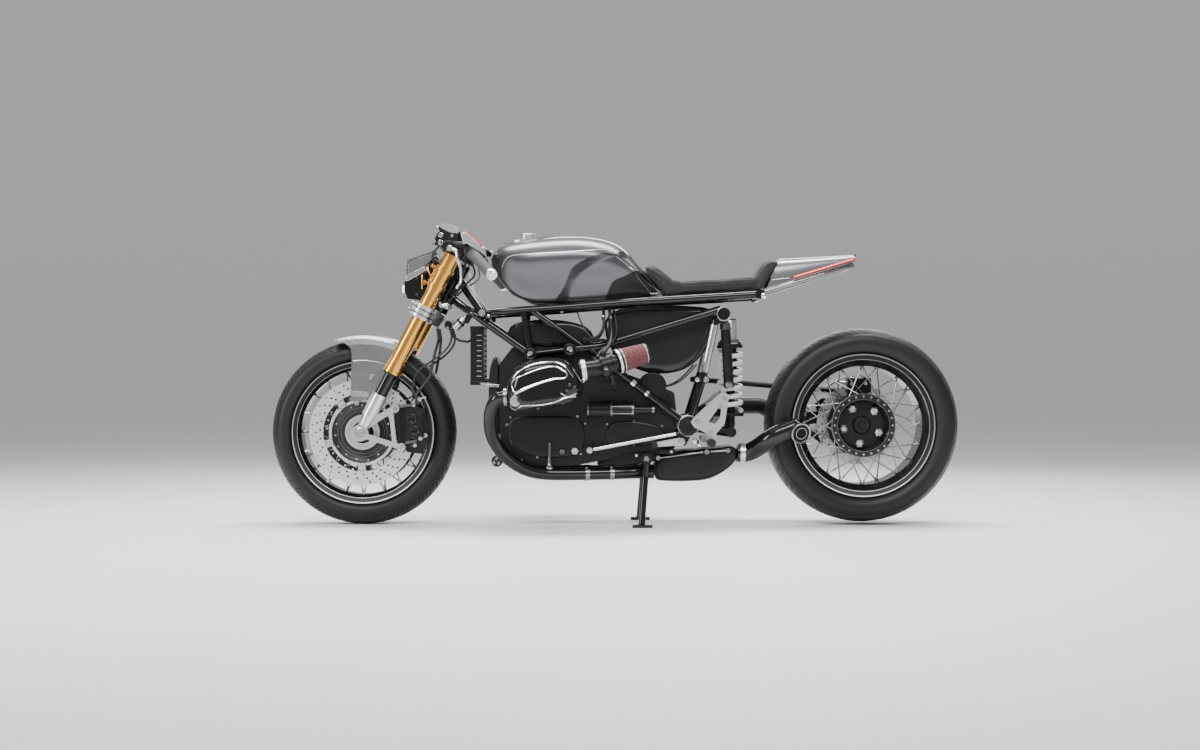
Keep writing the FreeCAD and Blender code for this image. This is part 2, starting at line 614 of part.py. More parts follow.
# frame and engine
def makeMainFrame():
    r = size("frameTube")
    y = size("railY")
    n1 = (-271, -y, 553)
    n2 = (-145, -y, 568)
    ringSpot = (347, -y, 681)
    pivot = (size("pivotX"), -y, size("pivotZ"))
    tubes = [
        pipe([(-536, -20, 742), (-500, -66, 712), (-450, -110, 680), n1], r, 60),
        rod((-425, -y, 684), (-176, -y, 701), r - 1),
        pipe([(-176, -y, 701), (47, -y, 719), (462, -y, 744)], r - 1, 60),
        rod((-510, -26, 800), (-425, -y, 684), r),
        rod((-294, -y, 692), n1, r - 3),
        rod((-268, -y, 694), (-106, -y, 578), r - 3),
        rod(n1, n2, r - 3),
        pipe([n2, (-49, -y, 578), (338, -y, 696)], r - 1, 40),
        rod((321, -y, 660), (280, -y, 470), r - 2),
        rod((280, -y, 470), pivot, r - 2),
        rod((-90, -y, 575), pivot, r - 2),
    ]
    for spot, radius in ((n1, 21), (n2, 21), (ringSpot, 23), ((-425, -y, 684), 15), ((462, -y, 744), 15)):
        tubes.append(rod((spot[0], -y - 15, spot[2]), (spot[0], -y + 14, spot[2]), radius))
    tubes.append(rod((pivot[0], -y - 14, pivot[2]), (pivot[0], -y + 10, pivot[2]), 34))
    tubes.append(rod((290, -y, 470), (290, -y - 14.2, 470), 12))
    tubes.append(slab([(205, 305), (192, 262), (224, 260), (246, 300)], -y - 14, -y - 4))
    tubes.append(rod((-82, -y - 9, 246), (206, -y - 9, 300), 6.5))
    tubes.append(rod((-82, -y - 16, 246), (-82, -size("blockHalf") - size("fitGap"), 246), 10))
    side = join(tubes)
    crosses = [
        rod((-176, -y, 701), (-176, y, 701), 10),
        rod((-176, -60, 701), (-176, -60, 716.6), 15),
        rod((-176, 60, 701), (-176, 60, 716.6), 15),
        rod((347, -y, 681), (347, y, 681), r),
        rod((462, -y, 744), (462, y, 744), r - 3),
        rod((-425, -y, 684), (-425, y, 684), r - 2),
    ]
    head = rod((size("forkOffset"), 0, size("headTubeLow")), (size("forkOffset"), 0, size("headTubeHigh")),
               size("headTubeRadius"))
    head.Placement = forkPlace.multiply(head.Placement)
    bore = rod((size("forkOffset"), 0, 300), (size("forkOffset"), 0, 800), size("headTubeBore"))
    bore.Placement = forkPlace.multiply(bore.Placement)
    frame = join(both(side) + crosses + [head]).cut(bore)
    publish(feature("main_frame", frame))


def makeRearFrame():
    y = size("railY")
    radius = size("tailTube")
    tube = pipe([(478.5, -y + 8, 751), (672, -84, 811), (745, -60, 832.5), (772, -24, 841)], radius, 30)
    cross = rod((771, -26, 840.8), (771, 26, 840.8), radius)
    publish(feature("rear_frame", join(both(tube) + [cross])))


def sideRelief(half):
    """raised seams and covers on the flanks of the block, cylinder foot flanges and sump fins"""
    proud = half + size("ribProud")
    motor = size("starterRadius")
    seam = slab([(-66, 222), (-66, 522), (-56, 512), (-56, 226)], -proud, -half + 2)
    seam = seam.cut(rod((-80, -half - motor, 374), (-40, -half - motor, 374), motor + 1))
    gearCover = slab([(-36, 246), (-36, 338), (60, 346), (140, 330), (168, 304), (164, 276), (130, 262), (40, 252)],
                     -proud, -half + 2)
    timingCover = slab([(-345, 262), (-345, 352), (-306, 360), (-130, 360), (-92, 340), (-92, 236), (-130, 218),
                        (-250, 212), (-318, 240)], -proud, -half + 2)
    foot = rod((size("crankX"), -proud, size("crankZ")), (size("crankX"), -half + 2, size("crankZ")), 92)
    rib = slab([(-46, 430), (-46, 440), (70, 424), (70, 414)], -proud, -half + 2)
    fins = [block((x, x + 6), (-60, 60), (178, 215)) for x in range(-250, -120, 22)]
    return both(join([seam, gearCover, timingCover, foot, rib])) + fins


def makeEngine():
    half = size("blockHalf")
    case = slab([(-372, 300), (-372, 520), (-330, 575), (-100, 575), (-50, 520), (90, 470), (190, 430), (196, 372),
                 (190, 280), (150, 248), (40, 236), (-40, 212), (-120, 196), (-250, 190), (-330, 220)], -half, half)
    case = soften(case, 14, lambda edge: abs(edge.Length - 2 * half) < 0.5)
    banks = rod((size("crankX"), -size("finStart") + 2, size("crankZ")),
                (size("crankX"), size("finStart") - 2, size("crankZ")), 88)
    y = size("railY")
    lugs = []
    for x, z in ((-271, 553), (-145, 568)):
        lugs += both(rod((x, -y + 14.8, z), (x, -86, z), 19))
    sx, sz = size("standX"), size("standZ")
    ear = slab([(sx - 24, 262), (sx - 24, sz), (sx - 12, sz - 22), (sx + 12, sz - 22), (sx + 24, sz), (sx + 24, 262)],
               -92, -78)
    case = join([case, banks] + lugs + both(ear) + sideRelief(half))
    publish(feature("engine_block", case.cut(rod((sx, -150, sz), (sx, 150, sz), size("standPivotTube") + 0.3))))
    front = slab([(-408, 310), (-408, 500), (-392, 545), (-372.3, 552), (-372.3, 250), (-392, 262)], -92, 92)
    front = soften(front, 8, lambda edge: abs(edge.Length - 184) < 0.5)
    top = slab([(-352, 600), (-340, 660), (-200, 668), (-90, 650), (-60, 600), (-100, 575.3), (-330, 575.3)], -84, 84)
    top = soften(top, 16, lambda edge: abs(edge.Length - 168) < 0.5)
    publish(feature("engine_covers", Part.makeCompound([front, top])))


def makeCylinders():
    x = size("crankX")
    z = size("crankZ")
    start = size("finStart")
    core = rod((x, -start + 1.7, z), (x, -size("coverStart"), z), size("cylinderRadius"))
    half = size("finHalf")
    solids = [core]
    for i in range(int(size("finCount"))):
        y = -start - 4 - i * size("finPitch")
        fin = block((x - half, x + half), (y - size("finThick"), y), (z - half, z + half))
        solids.append(soften(fin, 18, lambda edge: abs(edge.Length - size("finThick")) < 0.01))
    cylinder = join(solids)
    publish(feature("cylinders", Part.makeCompound(both(cylinder))))


def makeHeadCovers():
    """rounded rocker covers, broad at the root and shrinking outward"""
    x = size("crankX")
    z = size("crankZ")
    wires = []
    for y, grow in ((-size("coverStart") - 0.3, 1.0), (-290, 1.0), (-335, 0.93), (-356, 0.78),
                    (-size("coverEnd"), 0.6)):
        spots = [(-116, -40), (-112, 20), (-80, 62), (-10, 82), (60, 78), (104, 30), (114, -20), (90, -52),
                 (20, -68), (-60, -80), (-104, -76)]
        wires.append(loop([(x + a * grow, y, z + b * grow) for a, b in spots]))
    publish(feature("head_covers", Part.makeCompound(both(loft(wires)))))


def makeIntakes():
    a = Vec(2.5, -239.8, 526.2)
    b = Vec(100, -212, 556)
    along = (b - a).normalize()
    mouth = a - along * 0.3
    elbow = a - along * 70
    start = Vec(-113.3, -262, 499)
    lead = (elbow - start).normalize()
    stub = pipe([tuple(start), tuple(elbow), tuple(mouth)], 27, 40)
    clampRing = rod(tuple(start + lead * 7), tuple(start + lead * 20), 31)
    body = rod(tuple(a - along * 55), tuple(a - along * 12), 34)
    side = rod((-30, -235, 520), (-30, -290, 500), 12)
    publish(feature("throttle_bodies", Part.makeCompound(both(join([stub, clampRing, body, side])))))
    collar = rod(tuple(a), tuple(a + along * 20), 39)
    cone = rod(tuple(a + along * 19), tuple(b - along * 8), 37, 30)
    cap = rod(tuple(b - along * 9), tuple(b), 31.5)
    publish(feature("air_filters", Part.makeCompound(both(join([collar, cone, cap])))))


def makeEngineExtras():
    cooler = block((-466, -424), (-84, 84), (455, 642))
    for i in range(int(size("coolerSlots"))):
        z = 481.5 + i * size("coolerPitch")
        for x, y in (((-470, -461), (-74, 74)), ((-429, -420), (-74, 74)), ((-446, -430), (-90, -80)),
                     ((-446, -430), (80, 90))):
            cooler = cooler.cut(block(x, y, (z - 3, z + 3)))
    pipes = [rod((-424.5, y, 466), (-408.4, y, 466), 9) for y in (-60, 60)]
    publish(feature("oil_cooler", join([cooler] + pipes)))
    big = size("starterRadius")
    y = -size("blockHalf") - big - size("fitGap")
    motor = join([rod((-88, y, 374), (-10, y, 374), big), rod((-10, y, 374), (60, y, 374), big - 4),
                  rod((60, y, 374), (127, y, 374), big - 11)])
    publish(feature("starter_motor", motor))


def makeExhaust():
    left = pipe([(-337.3, -286, 418), (-381, -286, 416), (-388, -240, 318), (-350, -180, 235), (-258, -130, 168),
                 (-60, -88, 168), (80, -62, 171), (125, -62, 171)], 20, 40)
    box = slab([(125.3, 150), (125.3, 205), (150, 232), (190, 240), (330, 250), (394, 262), (394, 205), (330, 160),
                (280, 143), (150, 143)], -96, 96)
    publish(feature("exhaust_headers", Part.makeCompound(both(left) + [box])))
    outlet = pipe([(394.3, -62, 234), (430, -62, 234), (500, -128, 284), (574, -134, 318)], 31, 45)
    tip = rod((574, -120, 312), (590, -166, 300), 33)
    publish(feature("exhaust_outlet", join([outlet, tip])))


# body work
def tankSection(x, low, high, wide, knee):
    """one cross-section: crowned top, full shoulder, pinched flank"""
    tall = high - low
    right = [(0.42 * wide, high - 0.012 * tall), (0.78 * wide, high - 0.09 * tall), (wide, high - 0.34 * tall),
             (0.5 * (wide + knee), high - 0.58 * tall), (knee, high - 0.85 * tall), (0.9 * knee, low + 1)]
    points = [(x, 0, high)] + [(x, y, z) for y, z in right]
    points += [(x, 0.45 * knee, low), (x, -0.45 * knee, low)] + [(x, -y, z) for y, z in reversed(right)]
    return loop(points)


def makeTank():
    rows = [(-402, 842, 868, 38, 34), (-380, 806, 896, 84, 74), (-330, 748, 917, 126, 108), (-260, 722, 927, 150, 122),
            (-150, 721, 935, 158, 124), (-40, 726, 925, 150, 112), (30, 732, 893, 122, 106), (90, 736, 822, 106, 102),
            (147, 742, 754, 96, 96)]
    publish(feature("fuel_tank", loft([tankSection(*row) for row in rows])))
    tank = doc.getObject("fuel_tank").Shape
    x = size("capX")
    plate = rod((x + 4, 0, 890), (x + 4, 0, 960), size("plateRadius"))
    plate = plate.common(Part.makeSphere(size("plateCrown"), Vec(-130, 0, 938.5 - size("plateCrown"))))
    cap = rod((x, 0, 920), (x, 0, 945), size("capRadius"))
    publish(feature("filler_cap", join([plate, cap]).cut(tank.translated(Vec(0, 0, size("fitGap"))))))


def makeSeat():
    side = [(156, 740.2), (152, 762), (88, 838), (96, 846), (124, 836), (186, 790), (215, 784), (330, 790),
            (448, 799), (464, 820), (482, 850), (503, 861), (530, 862), (482, 761.5), (440, 758)]
    pad = slab(side, -size("railY") + 6, size("railY") - 6)
    publish(feature("seat", pad))


def makeTail():
    """wedge behind the seat with a light strip round its lower edge"""
    rows = [(478, 763, 860, 112), (600, 800.5, 866, 94), (700, 831, 871, 78), (775, 853.5, 876, 64)]
    wires = []
    for x, low, high, wide in rows:
        wires.append(Part.makePolygon([Vec(x, -wide, low), Vec(x, -wide * 0.94, high), Vec(x, wide * 0.94, high),
                                       Vec(x, wide, low), Vec(x, -wide, low)]))
    cowl = Part.makeLoft(wires, True, True)
    front = slab([(470, 740), (472.7, 740), (532.3, 866), (532.3, 900), (470, 900)], -130, 130)
    publish(feature("tail_cowl", cowl.cut(front)))
    route = [(572, -102.2, 799), (600, -98.2, 807.5), (700, -82.2, 838), (764, -70.7, 857.5), (779.4, -68.9, 862),
             (779.4, 0, 862)]
    strip = pipe(route, 4, 4.5)
    publish(feature("tail_light", join(both(strip))))


def makeUnderSeat():
    box = slab([(-36, 712), (-36, 610), (10, 530), (110, 486), (220, 492), (300, 560), (333.2, 660), (333.2, 712)],
               -84, 84)
    publish(feature("underseat_box", soften(box, 20, lambda edge: abs(edge.Length - 168) < 0.5)))


# rear suspension, final drive and controls
def makeSwingarm():
    x, z = size("pivotX"), size("pivotZ")
    pivot = rod((x, -size("railY") + 12, z), (x, size("railY") - 12, z), 30)
    arm = pipe([(x, 60, z), (326, 98, z + 46), (400, 108, z + 60), (490, 136, z + 60), (590, 136, z + 7),
                (640, 136, z + 7)], 28, 60)
    bridge = rod((x + 20, -30, z - 6), (377, -30, 300), 16)
    crossBar = rod((377, -48, 300), (377, 30, 303), 17)
    riser = rod((377, 26, 302), (377, 100, 352), 17)
    arm = join([pivot, arm, bridge, crossBar, riser])
    x1, z1 = size("rearAxleX"), size("rearAxleZ")
    case = join([rod((x1, 102, z1), (x1, 160, z1), 92), rod((x1, 160, z1), (x1, 176, z1), 80, 60),
                 slab([(640.3, 292), (640.3, 368), (690, 408), (742, 408), (790, 380), (790, 240), (700, 248)], 108, 162),
                 rod((x1, size("rearHubFloor") - 15.7, z1), (x1, 104, z1), 25.7)])
    lug = slab([(x1 - 60, z1 + 60), (x1 - 46, z1 + 120), (x1 - 20, z1 + 120), (x1 + 10, z1 + 80)], 118, 136)
    publish(feature("final_drive", join([case, lug])))
    near = size("railY") + 14.5
    strut = join([rod((290, near + 12.5, 470), (x1 - 34, 149, z1 + 107), 10),
                  rod((290, near, 470), (290, near + 24.5, 470), 16),
                  rod((x1 - 34, 136.3, z1 + 107), (x1 - 34, 161, z1 + 107), 16)])
    publish(feature("swingarm", Part.makeCompound([arm, strut])))


def makeShock():
    rodPart = rod((377, -30, 320), (375, -30, 520), 13)
    can = rod((375, -30, 500), (372, -30, 668), 22)
    reservoir = rod((366, -92, 446), (354, -92, 650), size("reservoirRadius"))
    bridge = rod((372, -30, 636), (355, -92, 636), 10)
    seatLow = rod((376.5, -30, 352), (376.3, -30, 362), 42)
    seatHigh = rod((373.6, -30, 573), (373.4, -30, 584), 42)
    publish(feature("shock_absorber", join([rodPart, can, seatLow, seatHigh, reservoir, bridge])))
    wire = size("springWire")
    coilRadius = size("springRadius")
    helix = Part.makeHelix(size("springPitch"), 194, coilRadius)
    profile = Part.Wire(Part.makeCircle(wire, Vec(coilRadius, 0, 0), Vec(0, 1, 0)))
    coil = Part.Wire(helix).makePipeShell([profile], True, True)
    coil.translate(Vec(375, -30, 362.6 + wire))
    publish(feature("shock_spring", coil))


def makeRearCaliper():
    x1, z1 = size("rearAxleX"), size("rearAxleZ")
    caliper = block((x1 - 34, x1 + 44), (52, 100), (z1 + 84, z1 + 152))
    slot = rod((x1, 60, z1), (x1, 84.5, z1), 139)
    arm = block((x1 - 20, x1 + 20), (99, 117.7), (z1 + 92.4, z1 + 112))
    publish(feature("rear_caliper", caliper.cut(slot).cut(rod((x1, 40, z1), (x1, 101, z1), 86)).fuse(arm)))


def makeControls():
    y = size("railY") + 16
    plate = slab([(252, 352), (240, 336), (252, 318), (290, 300), (296, 262), (312, 262), (322, 300), (348, 330),
                  (362, 420), (346, 432), (330, 424)], -y - 14, -y)
    window = slab([(296, 336), (318, 330), (334, 352), (340, 398)], -y - 20, -y + 5)
    peg = rod((302, -y - 13, 272), (302, -y - 95, 272), 11)
    spacer = rod((258, -y + 1.7, 334), (258, -y - 10, 334), 12)
    publish(feature("footrests", Part.makeCompound(both(join([plate.cut(window), peg, spacer])))))
    lever = slab([(118, 256), (120, 270), (206, 286), (222, 276), (216, 262)], -y - 16, -y - 6)
    toe = rod((124, -y - 12, 263), (124, -y - 52, 263), 9)
    shaft = rod((209, -y - 14, 273), (209, -y + 1.7, 273), 9)
    publish(feature("foot_levers", Part.makeCompound(both(join([lever, toe, shaft])))))


def makeStand():
    x, z, y = size("standX"), size("standZ"), size("standY")
    fx, fy = size("standFootX"), size("standFootY")
    leg = pipe([(x, -y, z), (x - 4, -y, z - 60), (fx, -fy, 9)], size("standTube"), 40)
    foot = block((fx - 30, fx + 34), (-fy - 15, -fy + 15), (0, 9))
    knuckle = rod((x, -y - 12, z), (x, -y + 10, z), 18)
    pivot = rod((x, -y, z), (x, y, z), size("standPivotTube"))
    publish(feature("centre_stand", join(both(join([leg, foot, knuckle])) + [pivot])))


makeTyre("front_tyre", "front", frontPlace)
makeFrontWheel()
makeTyre("rear_tyre", "rear", rearPlace)
makeRearWheel()
makeDiscs()
makeFork()
makeForkFeet()
makeClamps()
makeHandlebars()
makeHeadlight()
makeFender()
makeFrontCalipers()
makeBrakeHoses()
makeMainFrame()
makeRearFrame()
makeEngine()
makeCylinders()
makeHeadCovers()
makeIntakes()
makeEngineExtras()
makeExhaust()
makeTank()
makeSeat()
makeTail()
makeUnderSeat()
makeSwingarm()
makeShock()
makeRearCaliper()
makeControls()
makeStand()

doc.recompute()
for item in doc.Objects:
    if "Invalid" in item.State or "Error" in item.State:
        raise RuntimeError("recompute failed: " + item.Label)
for item in parts:
    if item.Shape.isNull() or not item.Shape.isValid():
        raise RuntimeError("bad shape: " + item.Label)
    item.Shape.exportStep("parts/" + item.Label + ".step")
print("parts written:", len(parts))
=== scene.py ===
import bmesh
import bpy
import math
import numpy as np
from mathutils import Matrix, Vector


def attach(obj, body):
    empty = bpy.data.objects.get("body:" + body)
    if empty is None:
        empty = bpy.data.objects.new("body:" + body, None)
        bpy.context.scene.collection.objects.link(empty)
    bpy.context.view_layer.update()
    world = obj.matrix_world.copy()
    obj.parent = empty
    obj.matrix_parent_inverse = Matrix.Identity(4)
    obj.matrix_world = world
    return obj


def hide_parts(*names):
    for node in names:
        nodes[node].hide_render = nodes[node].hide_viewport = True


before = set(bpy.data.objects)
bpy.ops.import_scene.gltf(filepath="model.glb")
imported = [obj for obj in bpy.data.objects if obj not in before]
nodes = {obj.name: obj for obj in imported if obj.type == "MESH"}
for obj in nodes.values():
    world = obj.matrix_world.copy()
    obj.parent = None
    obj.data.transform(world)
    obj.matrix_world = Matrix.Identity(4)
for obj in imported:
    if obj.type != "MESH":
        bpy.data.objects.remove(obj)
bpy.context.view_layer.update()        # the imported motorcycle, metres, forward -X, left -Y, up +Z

scene = bpy.context.scene
mm = 0.001

mergeDistance = 1e-6
left, right = (0, -1, 0), (0, 1, 0)

# measures that several pieces share, in millimetres
bike = {
    "frontAxle": (-817, 0, 300),
    "rearAxle": (802, 0, 323),
    "rake": 27.5,                # degrees
    "crank": (-218, 0, 455),
}


# camera at the photograph's angle: level, square to the left side
view = {
    "eye": (-0.0487, -5.6, 0.4856),
    "frameWidth": 3.924,         # metres seen across the picture at the middle plane
    "sensor": 36.0,
}


def makeCamera():
    data = bpy.data.cameras.new("sideCamera")
    data.sensor_width = view["sensor"]
    data.lens = view["sensor"] * -view["eye"][1] / view["frameWidth"]
    data.clip_end = 200
    camera = bpy.data.objects.new("sideCamera", data)
    camera.location = view["eye"]
    camera.rotation_euler = (math.radians(90), 0, 0)
    scene.collection.objects.link(camera)
    scene.camera = camera


lighting = {
    "horizonColour": (0.40, 0.405, 0.415),
    "zenithColour": (0.56, 0.565, 0.575),
    "worldStrength": 1.0,
    "softboxes": [
        # name, place, aimed at, width, depth, watts
        ("topBox", (0.0, 0.3, 3.0), (0, 0, 0.5), 3.8, 0.8, 230),
        ("frontTopBox", (-0.3, -2.8, 2.8), (0, 0, 0.6), 3.6, 0.9, 150),
        ("backBox", (0.6, 3.0, 2.0), (0, 0, 0.6), 3.0, 0.8, 60),
        ("noseBox", (-3.6, -2.0, 1.5), (-0.6, 0, 0.6), 0.8, 1.6, 70),
    ],
    "floorColour": (0.78, 0.785, 0.795),
    "floorRadius": 90.0,
}


def makeLights():
    world = bpy.data.worlds.new("studio")
    world.use_nodes = True
    tree = world.node_tree
    split = tree.nodes.new("ShaderNodeSeparateXYZ")
    tree.links.new(tree.nodes.new("ShaderNodeTexCoord").outputs["Generated"], split.inputs[0])
    rise = mathNode(tree, "MAXIMUM", split.outputs["Z"], 0.0)
    shade = mixColour(tree, rise, lighting["horizonColour"], lighting["zenithColour"])
    tree.links.new(shade, tree.nodes["Background"].inputs["Color"])
    tree.nodes["Background"].inputs["Strength"].default_value = lighting["worldStrength"]
    scene.world = world
    for name, place, target, width, depth, watts in lighting["softboxes"]:
        data = bpy.data.lights.new(name, "AREA")
        data.shape = "RECTANGLE"
        data.size = width
        data.size_y = depth
        data.energy = watts
        lamp = bpy.data.objects.new(name, data)
        lamp.location = place
        direction = Vector(target) - Vector(place)
        lamp.rotation_euler = direction.to_track_quat("-Z", "Y").to_euler()
        scene.collection.objects.link(lamp)


# shared shader groups
def newGroup(name, inputs, outputs):
    # empty shader group with its sockets, and its input and output nodes
    tree = bpy.data.node_groups.new(name, "ShaderNodeTree")
    for label, kind, value in inputs:
        socket = tree.interface.new_socket(label, in_out="INPUT", socket_type=kind)
        socket.default_value = value
    for label, kind in outputs:
        tree.interface.new_socket(label, in_out="OUTPUT", socket_type=kind)
    return tree, tree.nodes.new("NodeGroupInput"), tree.nodes.new("NodeGroupOutput")


def feed(tree, value, socket):
    # another node's socket is linked, a number or colour is set
    if isinstance(value, bpy.types.NodeSocket):
        tree.links.new(value, socket)
    else:
        socket.default_value = (*value, 1) if isinstance(value, tuple) else value


def mathNode(tree, kind, *values, clamp=False):
    node = tree.nodes.new("ShaderNodeMath")
    node.operation = kind
    node.use_clamp = clamp
    for value, socket in zip(values, node.inputs):
        feed(tree, value, socket)
    return node.outputs[0]


def mixColour(tree, share, first, second):
    node = tree.nodes.new("ShaderNodeMix")
    node.data_type = "RGBA"
    for value, label in ((share, "Factor"), (first, "A"), (second, "B")):
        feed(tree, value, node.inputs[label])
    return node.outputs["Result"]


def noiseNode(tree, where, scale, detail=3.0, rough=0.55):
    node = tree.nodes.new("ShaderNodeTexNoise")
    for value, label in ((where, "Vector"), (scale, "Scale"), (detail, "Detail"), (rough, "Roughness")):
        feed(tree, value, node.inputs[label])
    return node.outputs["Fac"]


def makeGrainGroup():
    # fine cast or sprayed grain: a height for bump and a slow cloud for colour and roughness
    tree, given, result = newGroup("surfaceGrain", [
        ("Where", "NodeSocketVector", (0, 0, 0)), ("Grain", "NodeSocketFloat", 900.0),
        ("Cloud", "NodeSocketFloat", 9.0)], [("Height", "NodeSocketFloat"), ("Cloud", "NodeSocketFloat")])
    fine = noiseNode(tree, given.outputs["Where"], given.outputs["Grain"], 2.0)
    slow = noiseNode(tree, given.outputs["Where"], given.outputs["Cloud"], 4.0)
    tree.links.new(fine, result.inputs["Height"])
    tree.links.new(slow, result.inputs["Cloud"])
    return tree


def makeWheelGroup():
    # radius from a wheel's axle and the angle round it, for turned and brushed finishes
    tree, given, result = newGroup("wheelPolar", [
        ("Where", "NodeSocketVector", (0, 0, 0)), ("AxleX", "NodeSocketFloat", 0.0),
        ("AxleZ", "NodeSocketFloat", 0.0)], [("Radius", "NodeSocketFloat"), ("Angle", "NodeSocketFloat")])
    split = tree.nodes.new("ShaderNodeSeparateXYZ")
    tree.links.new(given.outputs["Where"], split.inputs[0])
    x = mathNode(tree, "SUBTRACT", split.outputs["X"], given.outputs["AxleX"])
    z = mathNode(tree, "SUBTRACT", split.outputs["Z"], given.outputs["AxleZ"])
    squares = mathNode(tree, "ADD", mathNode(tree, "MULTIPLY", x, x), mathNode(tree, "MULTIPLY", z, z))
    tree.links.new(mathNode(tree, "SQRT", squares), result.inputs["Radius"])
    tree.links.new(mathNode(tree, "ARCTAN2", z, x), result.inputs["Angle"])
    return tree


groups = {}


def objectPoint(tree):
    return tree.nodes.new("ShaderNodeTexCoord").outputs["Object"]


def useGroup(tree, name, **values):
    node = tree.nodes.new("ShaderNodeGroup")
    node.node_tree = groups[name]
    for label, value in values.items():
        feed(tree, value, node.inputs[label])
    return node


def startMaterial(name, **fixed):
    # material with its Principled shader's plain values set
    material = bpy.data.materials.new(name)
    material.use_nodes = True
    tree = material.node_tree
    shader = tree.nodes["Principled BSDF"]
    for label, value in fixed.items():
        words = "".join(" " + letter if letter.isupper() else letter for letter in label).strip().title()
        words = words.replace("Ior", "IOR")
        feed(tree, value, shader.inputs[words])
    return material, tree, shader


def addBump(tree, shader, height, strength, distance):
    bump = tree.nodes.new("ShaderNodeBump")
    bump.inputs["Strength"].default_value = strength
    bump.inputs["Distance"].default_value = distance
    tree.links.new(height, bump.inputs["Height"])
    tree.links.new(bump.outputs["Normal"], shader.inputs["Normal"])


def finishMaterial(name, colour, metallic, roughness, grain=900.0, depth=0.000012, strength=0.3, cloud=9.0,
                   shade=0.12, spread=0.08, **fixed):
    # a paint, casting or plating: base colour and roughness drift a little, with a fine grain bump
    material, tree, shader = startMaterial(name, metallic=metallic, **fixed)
    grainNode = useGroup(tree, "grain", Where=objectPoint(tree), Grain=grain, Cloud=cloud)
    darker = tuple(channel * (1 - shade) for channel in colour)
    lighter = tuple(min(1.0, channel * (1 + shade)) for channel in colour)
    tree.links.new(mixColour(tree, grainNode.outputs["Cloud"], darker, lighter), shader.inputs["Base Color"])
    drift = mathNode(tree, "MULTIPLY_ADD", grainNode.outputs["Cloud"], spread, roughness - spread / 2)
    tree.links.new(drift, shader.inputs["Roughness"])
    addBump(tree, shader, grainNode.outputs["Height"], strength, depth)
    return material


finishes = {
    # name: colour, metallic, roughness, grain per metre, coat
    "tankGrey": ((0.105, 0.108, 0.115), 0.82, 0.33, 2600, 0.35),
    "silverGrey": ((0.27, 0.273, 0.281), 0.9, 0.27, 2600, 0.35),
    "glossBlack": ((0.005, 0.0055, 0.0062), 0.0, 0.12, 400, 0.35),
    "satinBlack": ((0.010, 0.0105, 0.0115), 0.15, 0.30, 1300, 0.0),
    "castBlack": ((0.010, 0.0105, 0.012), 0.2, 0.40, 700, 0.0),
    "boxBlack": ((0.012, 0.0125, 0.0135), 0.1, 0.24, 1500, 0.25),
    "gold": ((0.78, 0.39, 0.080), 1.0, 0.24, 1600, 0.0),
    "satinSilver": ((0.62, 0.625, 0.63), 1.0, 0.30, 1400, 0.0),
    "polishedSteel": ((0.74, 0.745, 0.75), 1.0, 0.14, 800, 0.0),
    "darkSteel": ((0.16, 0.16, 0.17), 1.0, 0.28, 1000, 0.0),
    "springWhite": ((0.62, 0.62, 0.61), 0.0, 0.34, 900, 0.2),
    "gripGrey": ((0.055, 0.055, 0.058), 0.0, 0.62, 1500, 0.0),
    "hoseBlack": ((0.014, 0.014, 0.015), 0.0, 0.48, 1200, 0.0),
    "switchWhite": ((0.72, 0.72, 0.73), 0.3, 0.3, 1200, 0.0),
    # bright silver for trim, also used for painted highlights on the tank's shoulder crease and the visor's lower lip
    "silverTrimAndHighlight": ((0.66, 0.665, 0.67), 1.0, 0.22, 1600, 0.0),
    "switchRed": ((0.55, 0.02, 0.02), 0.0, 0.3, 1200, 0.2),
    "lidGrey": ((0.27, 0.272, 0.275), 0.2, 0.42, 1500, 0.1),
    "gunSteel": ((0.27, 0.272, 0.28), 1.0, 0.24, 1100, 0.0),
    "darkGlass": ((0.008, 0.009, 0.011), 0.0, 0.05, 60, 0.6),
    "clearGlass": ((0.55, 0.57, 0.60), 0.4, 0.06, 60, 1.0),
    # matt black for soot, also used for painted shade in gaps and hollows
    "soot": ((0.004, 0.004, 0.004), 0.0, 0.9, 900, 0.0),
}


def makeMaterials():
    made = {}
    for name, (colour, metallic, roughness, grain, coat) in finishes.items():
        made[name] = finishMaterial(name, colour, metallic, roughness, grain, coatWeight=coat,
                                    specularIorLevel=0.26 if max(colour) < 0.015 and coat < 1 else 0.5)
    made["rubber"] = finishMaterial("rubber", (0.0085, 0.0085, 0.009), 0.0, 0.46, 1500, 0.00008, 0.5, 6.0, 0.25, 0.14,
                                    specularIorLevel=0.3)
    made["suede"] = makeSuede()
    made["suedeThread"] = finishMaterial("suedeThread", (0.03, 0.03, 0.03), 0.0, 0.8, 1800, 0.0001, 0.6)
    made["disc"] = makeDiscSteel("discSteel", bike["frontAxle"], 0.0985, 0.0668)
    made["rearDisc"] = makeDiscSteel("rearDiscSteel", bike["rearAxle"], 0.0985, 0.0)
    made["frontRim"] = makeRimPaint("frontRimPaint", bike["frontAxle"], 0.0585, 0.199)
    made["rearRim"] = makeRimPaint("rearRimPaint", bike["rearAxle"], 0.1045, 0.189)
    made["redMesh"] = makeRedMesh()
    made["redLight"] = makeLamp("redLight", (0.50, 0.002, 0.006), 0.35)
    made["whiteLight"] = makeLamp("whiteLight", (1.0, 1.0, 1.0), 4.0)
    made["pinkLight"] = makeLamp("pinkLight", (1.0, 0.20, 0.16), 1.5)
    return made


